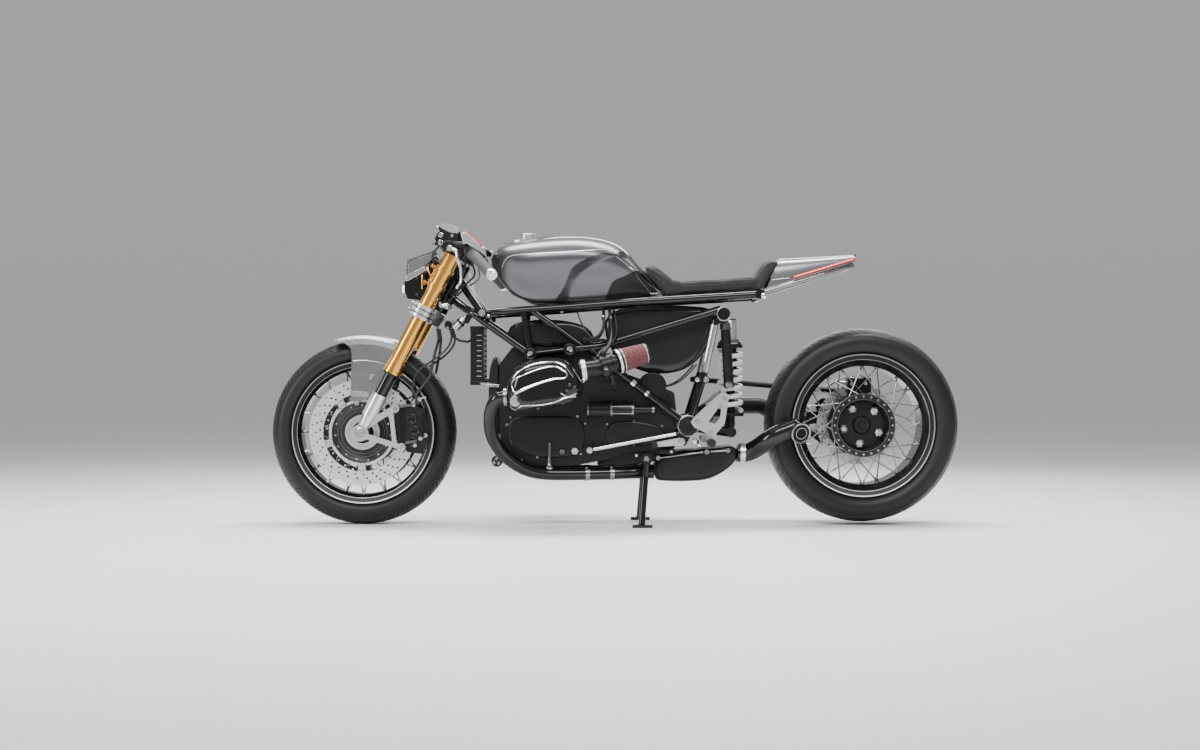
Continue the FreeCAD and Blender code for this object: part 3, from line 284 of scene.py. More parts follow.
def makeSuede():
    # dark brushed hide: two sizes of nap noise lighten the colour and lift the bump
    material, tree, shader = startMaterial("suede", sheenWeight=0.18, sheenRoughness=0.4, sheenTint=(0.5, 0.5, 0.5),
                                           roughness=0.92, specularIorLevel=0.2)
    where = objectPoint(tree)
    nap = noiseNode(tree, where, 420.0, 6.0, 0.7)
    patch = noiseNode(tree, where, 38.0, 4.0, 0.6)
    share = mathNode(tree, "MULTIPLY_ADD", nap, 0.7, mathNode(tree, "MULTIPLY", patch, 0.3))
    tree.links.new(mixColour(tree, share, (0.006, 0.006, 0.006), (0.05, 0.05, 0.049)), shader.inputs["Base Color"])
    addBump(tree, shader, nap, 0.7, 0.0012)
    return material


def makeDiscSteel(name, axle, carrier, paintedShadeY):
    # ground steel: fine rings about the axle, black carrier inside, painted shade on the inner faces nearest the middle
    # plane
    material, tree, shader = startMaterial(name, roughness=0.32)
    polar = useGroup(tree, "polar", Where=objectPoint(tree), AxleX=axle[0] * mm, AxleZ=axle[2] * mm)
    rings = tree.nodes.new("ShaderNodeTexNoise")
    rings.noise_dimensions = "1D"
    rings.inputs["Scale"].default_value = 2600.0
    rings.inputs["Detail"].default_value = 2.0
    tree.links.new(polar.outputs["Radius"], rings.inputs["W"])
    inner = mathNode(tree, "LESS_THAN", polar.outputs["Radius"], carrier)
    steel = mixColour(tree, rings.outputs["Fac"], (0.50, 0.505, 0.51), (0.66, 0.665, 0.67))
    split = tree.nodes.new("ShaderNodeSeparateXYZ")
    tree.links.new(objectPoint(tree), split.inputs[0])
    # painted shade: faces nearer the middle plane than the given Y turn dark and lose their metal
    paintedShadeFaces = mathNode(tree, "LESS_THAN", mathNode(tree, "ABSOLUTE", split.outputs["Y"]), paintedShadeY)
    steel = mixColour(tree, paintedShadeFaces, steel, (0.045, 0.045, 0.048))
    tree.links.new(mixColour(tree, inner, steel, (0.012, 0.012, 0.013)), shader.inputs["Base Color"])
    plain = mathNode(tree, "MAXIMUM", inner, paintedShadeFaces)
    tree.links.new(mathNode(tree, "MULTIPLY_ADD", plain, -0.4, 0.6), shader.inputs["Metallic"])
    addBump(tree, shader, rings.outputs["Fac"], 0.15, 0.00004)
    return material


def makeRimPaint(name, axle, hubEdge, rimEdge):
    # gloss black rim with two painted highlight rings on the flange edges, steel spokes, dark hub
    material, tree, shader = startMaterial(name, roughness=0.16, coatWeight=0.3)
    polar = useGroup(tree, "polar", Where=objectPoint(tree), AxleX=axle[0] * mm, AxleZ=axle[2] * mm)
    radius = polar.outputs["Radius"]

    def band(low, high):
        above = mathNode(tree, "GREATER_THAN", radius, low)
        below = mathNode(tree, "LESS_THAN", radius, high)
        return mathNode(tree, "MULTIPLY", above, below)

    spokes = band(hubEdge, rimEdge)
    # painted highlight: bright metallic rings at the flange radii stand in for light caught by the rim's edges
    flangeHighlights = mathNode(tree, "ADD", band(0.2265, 0.2305), band(0.2105, 0.2135))
    bright = mathNode(tree, "ADD", spokes, flangeHighlights, clamp=True)
    highlightedRim = mixColour(tree, flangeHighlights, (0.008, 0.0085, 0.0095), (0.70, 0.705, 0.71))
    tree.links.new(mixColour(tree, spokes, highlightedRim, (0.26, 0.262, 0.27)), shader.inputs["Base Color"])
    tree.links.new(bright, shader.inputs["Metallic"])
    return material


def makeRedMesh():
    # pleated red cotton under a fine wire mesh
    material, tree, shader = startMaterial("redMesh", roughness=0.6)
    where = objectPoint(tree)
    cells = tree.nodes.new("ShaderNodeTexVoronoi")
    cells.inputs["Scale"].default_value = 260.0
    tree.links.new(where, cells.inputs["Vector"])
    wire = mathNode(tree, "GREATER_THAN", cells.outputs["Distance"], 0.48)
    tree.links.new(mixColour(tree, wire, (0.060, 0.006, 0.007), (0.15, 0.040, 0.040)), shader.inputs["Base Color"])
    addBump(tree, shader, cells.outputs["Distance"], 0.5, 0.0008)
    return material


def makeLamp(name, colour, strength):
    material, tree, shader = startMaterial(name, roughness=0.25, emissionStrength=strength, baseColor=colour)
    glow = noiseNode(tree, objectPoint(tree), 60.0)
    dim = tuple(channel * 0.85 for channel in colour)
    tree.links.new(mixColour(tree, glow, dim, colour), shader.inputs["Emission Color"])
    return material


nodeFinishes = {
    "tankGrey": ["fuel_tank"],
    "silverGrey": ["front_fender", "tail_cowl", "headlight_visor"],
    "gunSteel": ["rear_frame"],
    "glossBlack": ["main_frame", "centre_stand", "fork_stanchions", "headlight", "exhaust_headers",
                   "exhaust_outlet", "head_covers"],
    "satinBlack": ["front_calipers", "rear_caliper", "hand_controls", "handlebars", "upper_clamp",
                   "throttle_bodies", "shock_absorber", "oil_cooler", "starter_motor"],
    "castBlack": ["engine_block", "engine_covers", "cylinders", "swingarm", "final_drive"],
    "boxBlack": ["underseat_box"],
    "gold": ["fork_tubes"],
    "satinSilver": ["fork_feet", "lower_clamp", "filler_cap", "footrests", "foot_levers"],
    "springWhite": ["shock_spring"],
    "gripGrey": ["grips"],
    "hoseBlack": ["brake_hoses"],
    "rubber": ["front_tyre", "rear_tyre"],
    "suede": ["seat"],
    "disc": ["front_discs"],
    "rearDisc": ["rear_disc"],
    "frontRim": ["front_rim"],
    "rearRim": ["rear_rim"],
    "redMesh": ["air_filters"],
    "redLight": ["tail_light"],
}


def dressNodes():
    for finish, names in nodeFinishes.items():
        for name in names:
            slots = nodes[name].data.materials
            slots.clear()
            slots.append(materials[finish])


def makeFloor():
    # flat disc: rings of points at radius times cosine and sine
    radii = np.array([0.0, 4.0, 12.0, lighting["floorRadius"]])
    angles = np.linspace(0, 2 * math.pi, 97)[:-1]
    x = radii[:, None] * np.cos(angles)
    y = radii[:, None] * np.sin(angles)
    materials["paleFloor"], tree, shader = startMaterial("paleFloor", roughness=0.62)
    cloud = noiseNode(tree, objectPoint(tree), 0.8)
    low = tuple(channel * 0.97 for channel in lighting["floorColour"])
    feed(tree, mixColour(tree, cloud, low, lighting["floorColour"]), shader.inputs["Base Color"])
    disc = gridMesh(np.stack([x, y, np.zeros_like(x)], axis=2) / mm, closeV=True)
    makePiece("floor", [disc], "paleFloor")


# mesh tools; from here on every part is a (points, faces) pair in millimetres
def gridMesh(points, closeU=False, closeV=False, caps=False):
    # quads over a grid of points, rows along U and columns along V; caps close the first and last row
    rows, columns = points.shape[:2]
    index = np.arange(rows * columns).reshape(rows, columns)
    if closeU:
        index = np.vstack([index, index[:1]])
    if closeV:
        index = np.hstack([index, index[:, :1]])
    faces = np.stack([index[:-1, :-1], index[:-1, 1:], index[1:, 1:], index[1:, :-1]], axis=2).reshape(-1, 4).tolist()
    if caps:
        faces += [list(range(columns))[::-1], [(rows - 1) * columns + i for i in range(columns)]]
    return points.reshape(-1, 3), faces


def joined(parts):
    # one (points, faces) pair from several
    points, faces, start = [], [], 0
    for block, polygons in parts:
        points.append(np.asarray(block, float))
        faces += [[corner + start for corner in polygon] for polygon in polygons]
        start += len(block)
    return np.vstack(points), faces


def makePiece(name, parts, finish, body=None, slot=None, replaces=(), sharp=32, bevel=0.0):
    # one object in metres from parts in millimetres, with doubles merged and faces turned outwards
    points, faces = joined(parts)
    mesh = bpy.data.meshes.new(name)
    mesh.from_pydata((points * mm).tolist(), [], faces)
    built = bmesh.new()
    built.from_mesh(mesh)
    bmesh.ops.remove_doubles(built, verts=built.verts, dist=mergeDistance)
    bmesh.ops.dissolve_degenerate(built, edges=built.edges, dist=mergeDistance)
    bmesh.ops.recalc_face_normals(built, faces=built.faces)
    built.to_mesh(mesh)
    built.free()
    mesh.shade_smooth()
    mesh.set_sharp_from_angle(angle=math.radians(sharp))
    mesh.materials.append(materials[finish])
    piece = bpy.data.objects.new(name, mesh)
    scene.collection.objects.link(piece)
    if bevel:
        rounding = piece.modifiers.new("edges", "BEVEL")
        rounding.width = bevel * mm
        rounding.segments = 2
        rounding.limit_method = "ANGLE"
        rounding.angle_limit = math.radians(40)
        rounding.harden_normals = False
    if body:
        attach(piece, body)
    if replaces:
        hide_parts(*replaces)
    return piece


def makePair(name, parts, *rest, **more):
    # the parts and their mirror images across the middle plane, as one object
    mirrored = [(np.asarray(points) * [1, -1, 1], faces) for points, faces in parts]
    return makePiece(name, list(parts) + mirrored, *rest, **more)


def splineThrough(points, spots, closed=False):
    # cubic spline through points at chord-length steps, read at knot numbers such as 2.5
    p = np.asarray(points, float)
    if closed:
        p = np.vstack([p[-3:], p, p[:4]])
    h = np.linalg.norm(np.diff(p, axis=0), axis=1)
    n = len(p)
    system = np.eye(n)
    right = np.zeros_like(p)
    inner = np.arange(1, n - 1)
    system[inner, inner - 1] = h[:-1]
    system[inner, inner] = 2 * (h[:-1] + h[1:])
    system[inner, inner + 1] = h[1:]
    right[inner] = 6 * np.diff(np.diff(p, axis=0) / h[:, None], axis=0)
    bend = np.linalg.solve(system, right)
    spots = np.asarray(spots, float) + (3 if closed else 0)
    i = np.clip(spots.astype(int), 0, n - 2)
    b = (spots - i)[:, None]
    a = 1 - b
    return a * p[i] + b * p[i + 1] + ((a ** 3 - a) * bend[i] + (b ** 3 - b) * bend[i + 1]) * h[i][:, None] ** 2 / 6


def smoothPath(points, steps=7):
    # spline through points, steps samples between neighbours
    return splineThrough(points, np.linspace(0, len(points) - 1, (len(points) - 1) * steps + 1))


def tube(path, radius, sides=12, flat=1.0):
    # round bar: path plus radius times the cosine and sine of two normals, ends closed
    path = np.asarray(path, float)
    along = np.gradient(path, axis=0)
    along /= np.linalg.norm(along, axis=1)[:, None]
    first = np.cross(along, (0.3, 0.9, 0.1))
    first /= np.linalg.norm(first, axis=1)[:, None]
    second = np.cross(along, first)
    turn = np.linspace(0, 2 * math.pi, sides, endpoint=False)
    radius = np.broadcast_to(radius, len(path))[:, None, None]
    ring = np.cos(turn)[None, :, None] * first[:, None] * flat + np.sin(turn)[None, :, None] * second[:, None]
    return gridMesh(path[:, None] + radius * ring, closeV=True, caps=True)


def hose(path, radius, sides=10, steps=7):
    return tube(smoothPath(path, steps), radius, sides)


def turned(profile, centre, axis, sides=24, closed=False):
    # lathe form: profile pairs of radius and height turned about an axis
    profile = np.asarray(profile, float)
    axis = np.asarray(axis, float) / np.linalg.norm(axis)
    first = np.cross(axis, (0, 0, 1) if abs(axis[2]) < 0.9 else (1, 0, 0))
    first /= np.linalg.norm(first)
    turn = np.linspace(0, 2 * math.pi, sides, endpoint=False)
    ring = np.cos(turn)[:, None] * first + np.sin(turn)[:, None] * np.cross(axis, first)
    points = np.asarray(centre, float) + profile[:, 1][:, None, None] * axis + profile[:, 0][:, None, None] * ring
    return gridMesh(points, closeU=closed, closeV=True)


def band(inner, outer, low, high, centre, axis, sides=40):
    # square-edged ring between two radii and two heights
    return turned([(inner, low), (outer, low), (outer, high), (inner, high)], centre, axis, sides, closed=True)


def sleeve(start, axis, radius, low, high, drop=1.6, sides=28):
    # thin skin round a tube between two heights, its ends falling in by drop
    return turned([(radius - drop, low), (radius, low + 1), (radius, high - 1), (radius - drop, high)], start, axis, sides)


def socketBolt(centre, radius, height, axis=left):
    # round head with a hexagon socket sunk in it
    return turned([(radius, 0), (radius, height * 0.8), (radius * 0.86, height), (radius * 0.55, height),
                   (radius * 0.5, height * 0.35), (0, height * 0.35)], centre, axis, 12)


def hexNut(centre, radius, height, stud=0.5):
    # six-sided nut with the end of its stud standing out
    nut = turned([(radius, 0), (radius, height * 0.85), (radius * 0.88, height), (radius * stud, height)], centre, left, 6)
    return joined([nut, turned([(radius * stud, height * 0.9), (radius * stud, height * 1.3),
                                (radius * stud * 0.7, height * 1.45), (0, height * 1.45)], centre, left, 12)])


def plate(outline, y0, y1):
    # flat plate from an outline of x and z between two Y planes
    outline = np.asarray(outline, float)
    count = len(outline)
    sides = [[i, (i + 1) % count, (i + 1) % count + count, i + count] for i in range(count)]
    points = np.vstack([np.insert(outline, 1, y0, axis=1), np.insert(outline, 1, y1, axis=1)])
    return points, sides + [list(range(count))[::-1], list(range(count, 2 * count))]


def slab(x, z, y):
    # plate with a square outline, from pairs of lowest and highest x, z and y
    return plate([(x[0], z[0]), (x[1], z[0]), (x[1], z[1]), (x[0], z[1])], *y)


def layOn(spots, target, startY=-600.0):
    # x and z spots moved along Y onto the left side of an object by a Shrinkwrap modifier
    spots = np.asarray(spots, float)
    mesh = bpy.data.meshes.new("spots")
    mesh.from_pydata((np.insert(spots, 1, startY, axis=1) * mm).tolist(), [], [])
    probe = bpy.data.objects.new("spots", mesh)
    scene.collection.objects.link(probe)
    wrap = probe.modifiers.new("wrap", "SHRINKWRAP")
    wrap.wrap_method = "PROJECT"
    wrap.target = target
    wrap.use_project_y = True
    read = probe.evaluated_get(bpy.context.evaluated_depsgraph_get()).to_mesh()
    found = np.empty(len(spots) * 3)
    read.vertices.foreach_get("co", found)
    bpy.data.objects.remove(probe)
    bpy.data.meshes.remove(mesh)
    found = found.reshape(-1, 3) / mm
    missed = np.abs(found[:, 1] - startY) < 0.001
    if missed.any() and not missed.all():
        order = np.arange(len(found))
        found[:, 1] = np.interp(order, order[~missed], found[~missed, 1])
    return found


def laidLine(spots, target, radius, steps=5, sides=8, sunk=0.0, closed=False):
    # bar along spots laid on an object's left side; a pair of radii runs evenly from one end to the other
    laid = layOn(spots, target) + [0, sunk, 0]
    count = len(laid) if closed else len(laid) - 1
    path = splineThrough(laid, np.linspace(0, count, count * steps + 1), closed)
    return tube(path, np.linspace(*radius, len(path)) if isinstance(radius, tuple) else radius, sides)


def laidPatch(spots, target, proud, thick):
    # sheet on an object's left side: a grid of spots laid on it and lifted, with its back lying further in
    laid = layOn(spots.reshape(-1, 2), target).reshape(*spots.shape[:2], 3)
    laid[..., 1] -= proud
    return gridMesh(np.vstack([laid, laid[::-1] + [0, thick, 0]]), closeU=True)


def pillow(outline, half, rounding, steps=10, samples=4):
    # crowned block: the outline shrunk towards its middle by one minus cos(t), its half width grown by sin(t)
    loop = np.asarray(outline, float)
    spots = np.linspace(0, len(loop), len(loop) * samples, endpoint=False)
    low = np.floor(spots).astype(int)
    share = (spots - low)[:, None]
    ring = loop[low] * (1 - share) + loop[(low + 1) % len(loop)] * share
    for _ in range(samples):
        ring = (np.roll(ring, 1, axis=0) + 2 * ring + np.roll(ring, -1, axis=0)) / 4
    middle = ring.mean(axis=0)
    reach = np.linalg.norm(ring - middle, axis=1)[:, None]
    t = np.linspace(0, math.pi / 2, steps)
    flank = ring[None] - (ring - middle)[None] / reach[None] * rounding * (1 - np.cos(t))[:, None, None]
    width = half - rounding * 0.6 * (1 - np.sin(t))
    rows = np.vstack([flank] + [middle + (flank[-1:] - middle) * shrink for shrink in (0.75, 0.45, 0.02)])
    side = np.concatenate([width, [half] * 3])[:, None] * np.ones(rows.shape[:2])
    points = np.stack([rows[..., 0], -side, rows[..., 1]], axis=2)
    return gridMesh(np.vstack([points[::-1] * [1, -1, 1], points]), closeV=True, caps=True)


def ribbed(count, start, pitch, ridge, groove, flat):
    # profile of count ridges, each flat on top, with grooves between them
    return [pair for h in start + pitch * np.arange(count)
            for pair in ((ridge, h), (ridge, h + flat), (groove, h + flat + 0.8), (groove, h + 5))]


# tyres
tyres = {
    "front": {"axle": bike["frontAxle"], "radius": 300, "half": 61, "seat": 44, "pitches": 56, "turn": 1,
              "reach": 30, "long": (0.22, 0.86), "short": (0.55, 0.95), "width": 3.6, "depth": 3.8},
    "rear": {"axle": bike["rearAxle"], "radius": 315, "half": 91, "seat": 70, "pitches": 36, "turn": -1,
             "reach": 46, "long": (0.18, 0.80), "short": (0.50, 0.94), "width": 3.0, "depth": 3.2},
    "bead": 219,
    "flange": 231,
}


def arcThrough(start, middle, end, count):
    # points of the circle through three points, from start to end
    (ax, ay), (bx, by), (cx, cy) = start, middle, end
    d = 2 * (ax * (by - cy) + bx * (cy - ay) + cx * (ay - by))
    a2, b2, c2 = ax * ax + ay * ay, bx * bx + by * by, cx * cx + cy * cy
    ox = (a2 * (by - cy) + b2 * (cy - ay) + c2 * (ay - by)) / d
    oy = (a2 * (cx - bx) + b2 * (ax - cx) + c2 * (bx - ax)) / d
    angles = np.unwrap([math.atan2(y - oy, x - ox) for x, y in (start, middle, end)])
    sweep = np.linspace(angles[0], angles[2], count)
    radius = math.hypot(ax - ox, ay - oy)
    return np.stack([ox + radius * np.cos(sweep), oy + radius * np.sin(sweep)], axis=1)


def makeTyre(end):
    # carcass section turned round the axle; grid columns lean along the grooves, whose floor lies deeper
    t = tyres[end]
    outer, half, seat, bead, flange = t["radius"], t["half"], t["seat"], tyres["bead"], tyres["flange"]
    shoulder = (outer - 22, -half + 9)
    wall = arcThrough((flange + 1.5, -seat - 1), (outer - 46, -half), shoulder, 12)
    crown = arcThrough(shoulder, (outer, 0), (outer - 22, half - 9), 61)
    liner = [(bead, seat), (bead, seat - 8), (flange + 3, seat - 7), (outer - 40, half - 14), (outer - 12, 0),
             (outer - 40, -half + 14), (flange + 3, -seat + 7), (bead, -seat + 8), (bead, -seat)]
    section = np.vstack([wall, crown[1:-1], wall[::-1] * [1, -1], liner])
    lateral = np.zeros(len(section))
    lateral[len(wall) - 1:len(wall) + len(crown) - 1] = np.linspace(-1, 1, len(crown))
    reach = np.abs(lateral)
    ridge = np.exp(-((section[:, 0] - flange - 12) / 1.6) ** 2) * (np.abs(section[:, 1]) > seat)
    section[:, 1] += np.sign(section[:, 1]) * ridge * 0.9
    cut = t["width"] / outer * t["pitches"] / (2 * math.pi)
    marks = np.array([0, 0.12 * cut, 0.88 * cut, cut, 0.35, 0.5, 0.5 + 0.12 * cut, 0.5 + 0.88 * cut, 0.5 + cut, 0.85])
    floorLong = np.tile([0, 1, 1, 0, 0, 0, 0, 0, 0, 0], t["pitches"])
    floorShort = np.tile([0, 0, 0, 0, 0, 0, 1, 1, 0, 0], t["pitches"])
    columns = (np.arange(t["pitches"])[:, None] + marks).ravel() * 2 * math.pi / t["pitches"]

    def between(low, high):
        return (np.clip((reach - low) / 0.03, 0, 1) * np.clip((high - reach) / 0.03, 0, 1))[:, None]

    shift = t["turn"] * t["reach"] / outer * np.clip(reach, 0.1, 0.96) ** 1.6
    deep = (between(*t["long"]) * floorLong + between(*t["short"]) * floorShort) * t["depth"]
    radius = section[:, 0][:, None] - deep
    angle = columns + shift[:, None]
    points = np.stack([t["axle"][0] + radius * np.cos(angle), np.broadcast_to(section[:, 1][:, None], radius.shape),
                       t["axle"][2] + radius * np.sin(angle)], axis=2)
    makePiece(f"{end}TyreTread", [gridMesh(points, closeV=True)], "rubber", f"{end}_wheel",
              f"{end}_tyre", [f"{end}_tyre"], sharp=28)


def makeTyres():
    makeTyre("front")
    makeTyre("rear")


# tank
tank = {
    # x, low, high, half width and knee half width of each cross-section
    "rows": [(-402, 842, 868, 38, 34), (-380, 806, 896, 84, 74), (-330, 748, 917, 126, 108),
             (-260, 722, 927, 150, 122), (-150, 721, 935, 158, 124), (-40, 726, 925, 150, 112),
             (30, 732, 893, 122, 106), (90, 736, 822, 106, 102), (147, 742, 754, 96, 96)],
    "stepDepth": 20,             # how far the knee panel lies inside the front flank
    # the step's front and rear edges, x against height
    "stepFront": [(706, -206), (726, -192), (763, -168), (799, -152), (824, -140), (844, -119), (860, -83),
                  (876, -42), (888, 13)],
    "stepRear": [(706, -155), (722, -152), (763, -136), (795, -123), (815, -107), (832, -83), (852, -42),
                 (866, -2), (884, 21)],
    "panelEdge": [(-34, 728), (-24, 750), (-14, 775), (-5, 787), (19, 799), (64, 821)],
    "panelRear": [(40, 731), (100, 738), (128, 752), (112, 768), (84, 806), (68, 821)],
    "shoulder": [(-363, 832), (-351, 856), (-334, 866), (-300, 870), (-245, 872.5), (-164, 876.5), (-83, 882.5),
                 (-22, 886.5), (12, 888)],
    "rearRim": [(22, 884), (40, 868), (62, 846), (88, 818), (112, 791), (132, 769)],
    "rearLines": [([(2, 867), (20, 853), (42, 835), (59, 822)], 1.2), ([(66, 809), (80, 791), (97, 769), (111, 752)], 0.9)],
    # corners of a black sheet of painted shade in the gap between the rear lip and the seat
    "gapShade": [(68, 820), (80, 823), (137, 752), (116, 750)],
    "cap": (-284, 0, 944.8),
}


def tankSurface():
    # cross-sections of half width, knee and height joined by splines along the tank, a table to read from
    around = np.linspace(0, 14, 225)
    rows = []
    for x, low, high, wide, knee in tank["rows"]:
        tall = high - low
        side = [(0.42 * wide, high - 0.012 * tall), (0.78 * wide, high - 0.09 * tall), (wide, high - 0.34 * tall),
                (0.5 * (wide + knee), high - 0.58 * tall), (knee, high - 0.85 * tall), (0.9 * knee, low + 1)]
        loop = [(x, 0, high)] + [(x, y, z) for y, z in side] + [(x, 0.45 * knee, low), (x, -0.45 * knee, low)]
        loop += [(x, -y, z) for y, z in reversed(side)]
        rows.append(splineThrough(loop, around, closed=True))
    along = np.linspace(0, len(rows) - 1, 401)
    return splineThrough(np.array(rows).reshape(len(rows), -1), along).reshape(len(along), len(around), 3)


def readTank(table, x):
    # rows of the table read at each vertex's own x
    grid = table[:, 0, 0]
    place = np.interp(x, grid, np.arange(len(grid)))
    low = np.clip(place.astype(int), 0, len(grid) - 2)
    share = (place - low)[..., None]
    column = np.broadcast_to(np.arange(x.shape[1]), x.shape)
    found = table[low, column] * (1 - share) + table[low + 1, column] * share
    found[..., 0] = x
    return found


def makeTank():
    # tank skin whose columns follow the flank's step; behind the step the flank lies further in
    table = tankSurface()[:, :-1]
    nose, end = tank["rows"][0][0], tank["rows"][-1][0]
    u = np.concatenate([np.linspace(0, 1, 61)[:-1], np.linspace(1, 2, 9)[:-1], np.linspace(2, 3, 62)])
    points = readTank(table, np.interp(u, [0, 1, 2, 3], [nose, -150, -120, end])[:, None] * np.ones(table.shape[1]))
    front = np.array(tank["stepFront"], float)
    rear = np.array(tank["stepRear"], float)
    for _ in range(3):
        z = points[..., 2]
        xf = np.interp(z, front[:, 0], front[:, 1])
        xr = np.maximum(np.interp(z, rear[:, 0], rear[:, 1]), xf + 7)
        knots = np.stack([np.full_like(z, nose), xf, xr, np.full_like(z, end)])
        low = np.clip(u.astype(int), 0, 2)[:, None] * np.ones_like(z, int)
        row, column = np.indices(z.shape)
        start = knots[low, row, column]
        points = readTank(table, start + (knots[low + 1, row, column] - start) * (u[:, None] - low))
    inward = 1 - (1 - np.clip(u - 1, 0, 1)[:, None]) ** 1.3
    fade = np.clip((888 - points[..., 2]) / 26, 0, 1)
    fade = fade * fade * (3 - 2 * fade) * np.clip((end - points[..., 0]) / 110, 0, 1) * (np.abs(points[..., 1]) > 60)
    points[..., 1] -= np.sign(points[..., 1]) * inward * fade * tank["stepDepth"]
    skin = makePiece("tankSkin", [gridMesh(points, closeV=True, caps=True)], "tankGrey", "frame", "fuel_tank",
                     ["fuel_tank"], sharp=40)
    makeTankTrim(skin)


def makeTankTrim(skin):
    # a painted highlight line along the shoulder crease, rear lines, side panel, a black sheet of painted shade in the
    # gap by the seat, and feet on the skin; the panels blend from one edge to the other
    rides = ("frame", "fuel_tank")
    # painted highlight: a bright silver bar stands in for the light caught along the shoulder crease
    makePair("tankShoulderHighlight", [laidLine(tank["shoulder"], skin, 1.1)], "silverTrimAndHighlight", *rides)
    first, last = (splineThrough(tank[edge], np.linspace(0, 5, 30)) for edge in ("panelEdge", "panelRear"))
    across = np.linspace(0, 1, 16)[:, None, None]
    panel = laidPatch(first[None] * (1 - across) + last[None] * across, skin, 0.7, 4)
    makePair("tankSidePanel", [panel], "satinBlack", *rides, sharp=50)
    makePair("tankRearRim", [laidLine(tank["rearRim"], skin, 5.2, 5, 12, sunk=1)], "tankGrey", *rides)
    lines = [laidLine(spots, skin, radius, 4) for spots, radius in tank["rearLines"]]
    makePair("tankRearLines", lines, "silverTrimAndHighlight", *rides)
    # painted shade: a gloss black sheet on the skin stands in for the shade in the gap by the seat
    corners = np.array(tank["gapShade"])
    across = np.linspace(0, 1, 6)[:, None, None]
    down = np.linspace(0, 1, 14)[None, :, None]
    spots = ((corners[0] * (1 - down) + corners[3] * down) * (1 - across)
             + (corners[1] * (1 - down) + corners[2] * down) * across)
    makePair("tankGapShade", [laidPatch(spots, skin, 1.6, 5)], "glossBlack", *rides, sharp=50)
    makePair("tankFeet", [slab((113, 139), (744, 748.5), (-107.5, -90))], "silverTrimAndHighlight", *rides, bevel=0.8)
    lid = turned([(27, -4), (27.2, 0), (26.2, 1), (18, 1.2), (17.2, 0.4), (0, 0.4)], tank["cap"], (0, 0, 1), 48)
    makePiece("capLid", [lid], "satinSilver", "frame", "filler_cap")
    makePiece("capGrip", [slab((-302, -266), (944.8, 946.6), (-2.2, 2.2))], "polishedSteel", "frame", "filler_cap",
              bevel=0.4)


# seat, in metres
seatPad = {"voxel": 0.006, "inset": 0.005, "pressure": 4.0, "frames": 20, "cap": 0.009, "fill": 0.85,
           "piping": [[(104, 828), (124, 820), (156, 798), (186, 779), (215, 772.5), (270, 773), (330, 777), (390, 782),
                       (440, 787), (462, 800), (474, 820), (486, 838), (504, 848)],
                      [(156, 790), (158, 772), (160, 756)], [(452, 786), (458, 772), (462, 762)]]}


def meshArray(mesh, field, width=3):
    found = np.empty(len(mesh.vertices) * width, dtype=np.float32)
    mesh.vertices.foreach_get(field, found)
    return found.reshape(-1, width)


def bakeModifiers(piece):
    # what the modifiers make becomes the mesh itself
    made = bpy.data.meshes.new_from_object(piece.evaluated_get(bpy.context.evaluated_depsgraph_get()))
    piece.modifiers.clear()
    piece.data = made


def swellCloth(piece, pressure, frames):
    cloth = piece.modifiers.new("cloth", "CLOTH")
    cloth.settings.use_pressure = True
    cloth.settings.uniform_pressure_force = pressure
    cloth.settings.effector_weights.gravity = 0
    cloth.point_cache.frame_end = frames
    for step in range(1, frames + 1):
        scene.frame_set(step)
    bakeModifiers(piece)
    scene.frame_set(1)


def makeSeat():
    # the solid seat, shrunk a little along its normals, swollen as cloth and held within a cap of its start
    source = nodes["seat"].data.copy()
    merged = bmesh.new()
    merged.from_mesh(source)
    bmesh.ops.remove_doubles(merged, verts=merged.verts, dist=1e-5)
    merged.to_mesh(source)
    merged.free()
    pad = bpy.data.objects.new("seatPad", source)
    scene.collection.objects.link(pad)
    remesh = pad.modifiers.new("remesh", "REMESH")
    remesh.mode = "VOXEL"
    remesh.voxel_size = seatPad["voxel"]
    smooth = pad.modifiers.new("smooth", "SMOOTH")
    smooth.iterations = 6
    bakeModifiers(pad)
    start = meshArray(pad.data, "co") - meshArray(pad.data, "normal") * seatPad["inset"]
    pad.data.vertices.foreach_set("co", start.ravel())
    swellCloth(pad, seatPad["pressure"], seatPad["frames"])
    moved = meshArray(pad.data, "co") - start
    length = np.maximum(np.linalg.norm(moved, axis=1), 1e-9)[:, None]
    held = start + moved * np.minimum(1.0, seatPad["cap"] / length)
    pad.data.vertices.foreach_set("co", held.astype(np.float32).ravel())
    pad.data.materials.clear()
    pad.data.materials.append(materials["suede"])
    pad.data.shade_smooth()
    divide = pad.modifiers.new("smooth", "SUBSURF")
    divide.levels = 1
    divide.render_levels = 1
    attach(pad, "frame")
    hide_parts("seat")


def makeSeatSeams():
    # piping along the upper side edge and down the bolster
    pad = bpy.data.objects["seatPad"]
    seams = [laidLine(run, pad, 1.3, sunk=0.4) for run in seatPad["piping"]]
    makePair("seatPiping", seams, "suedeThread", "frame", "seat")


# head covers
coverTrim = {
    "panel": [(-318, 464), (-292, 482), (-247, 500), (-209, 510), (-180, 510), (-163, 500), (-149, 487), (-153, 479),
              (-183, 475), (-221, 466), (-260, 452), (-286, 441), (-308, 432), (-317, 445)],
    # spots along each polished edge and its radius, or the radii of its two ends
    "edges": [([(-309, 430), (-286, 440), (-260, 451), (-221, 465), (-183, 474), (-155, 477)], (6.2, 2.0)),
              ([(-316, 476), (-300, 494), (-267, 513), (-228, 524), (-183, 523), (-156, 509), (-132, 480)], 2.1),
              ([(-300, 384), (-290, 390), (-260, 392), (-222, 395), (-183, 404), (-157, 415), (-124, 421)], (1.6, 2.8)),
              ([(-168, 431), (-152, 421), (-122, 429)], 2.6)],
    "bolt": (-308, 406),
    "screws": [(-142, 455), (-150, 438), (-240, 384), (-128, 446)],
}


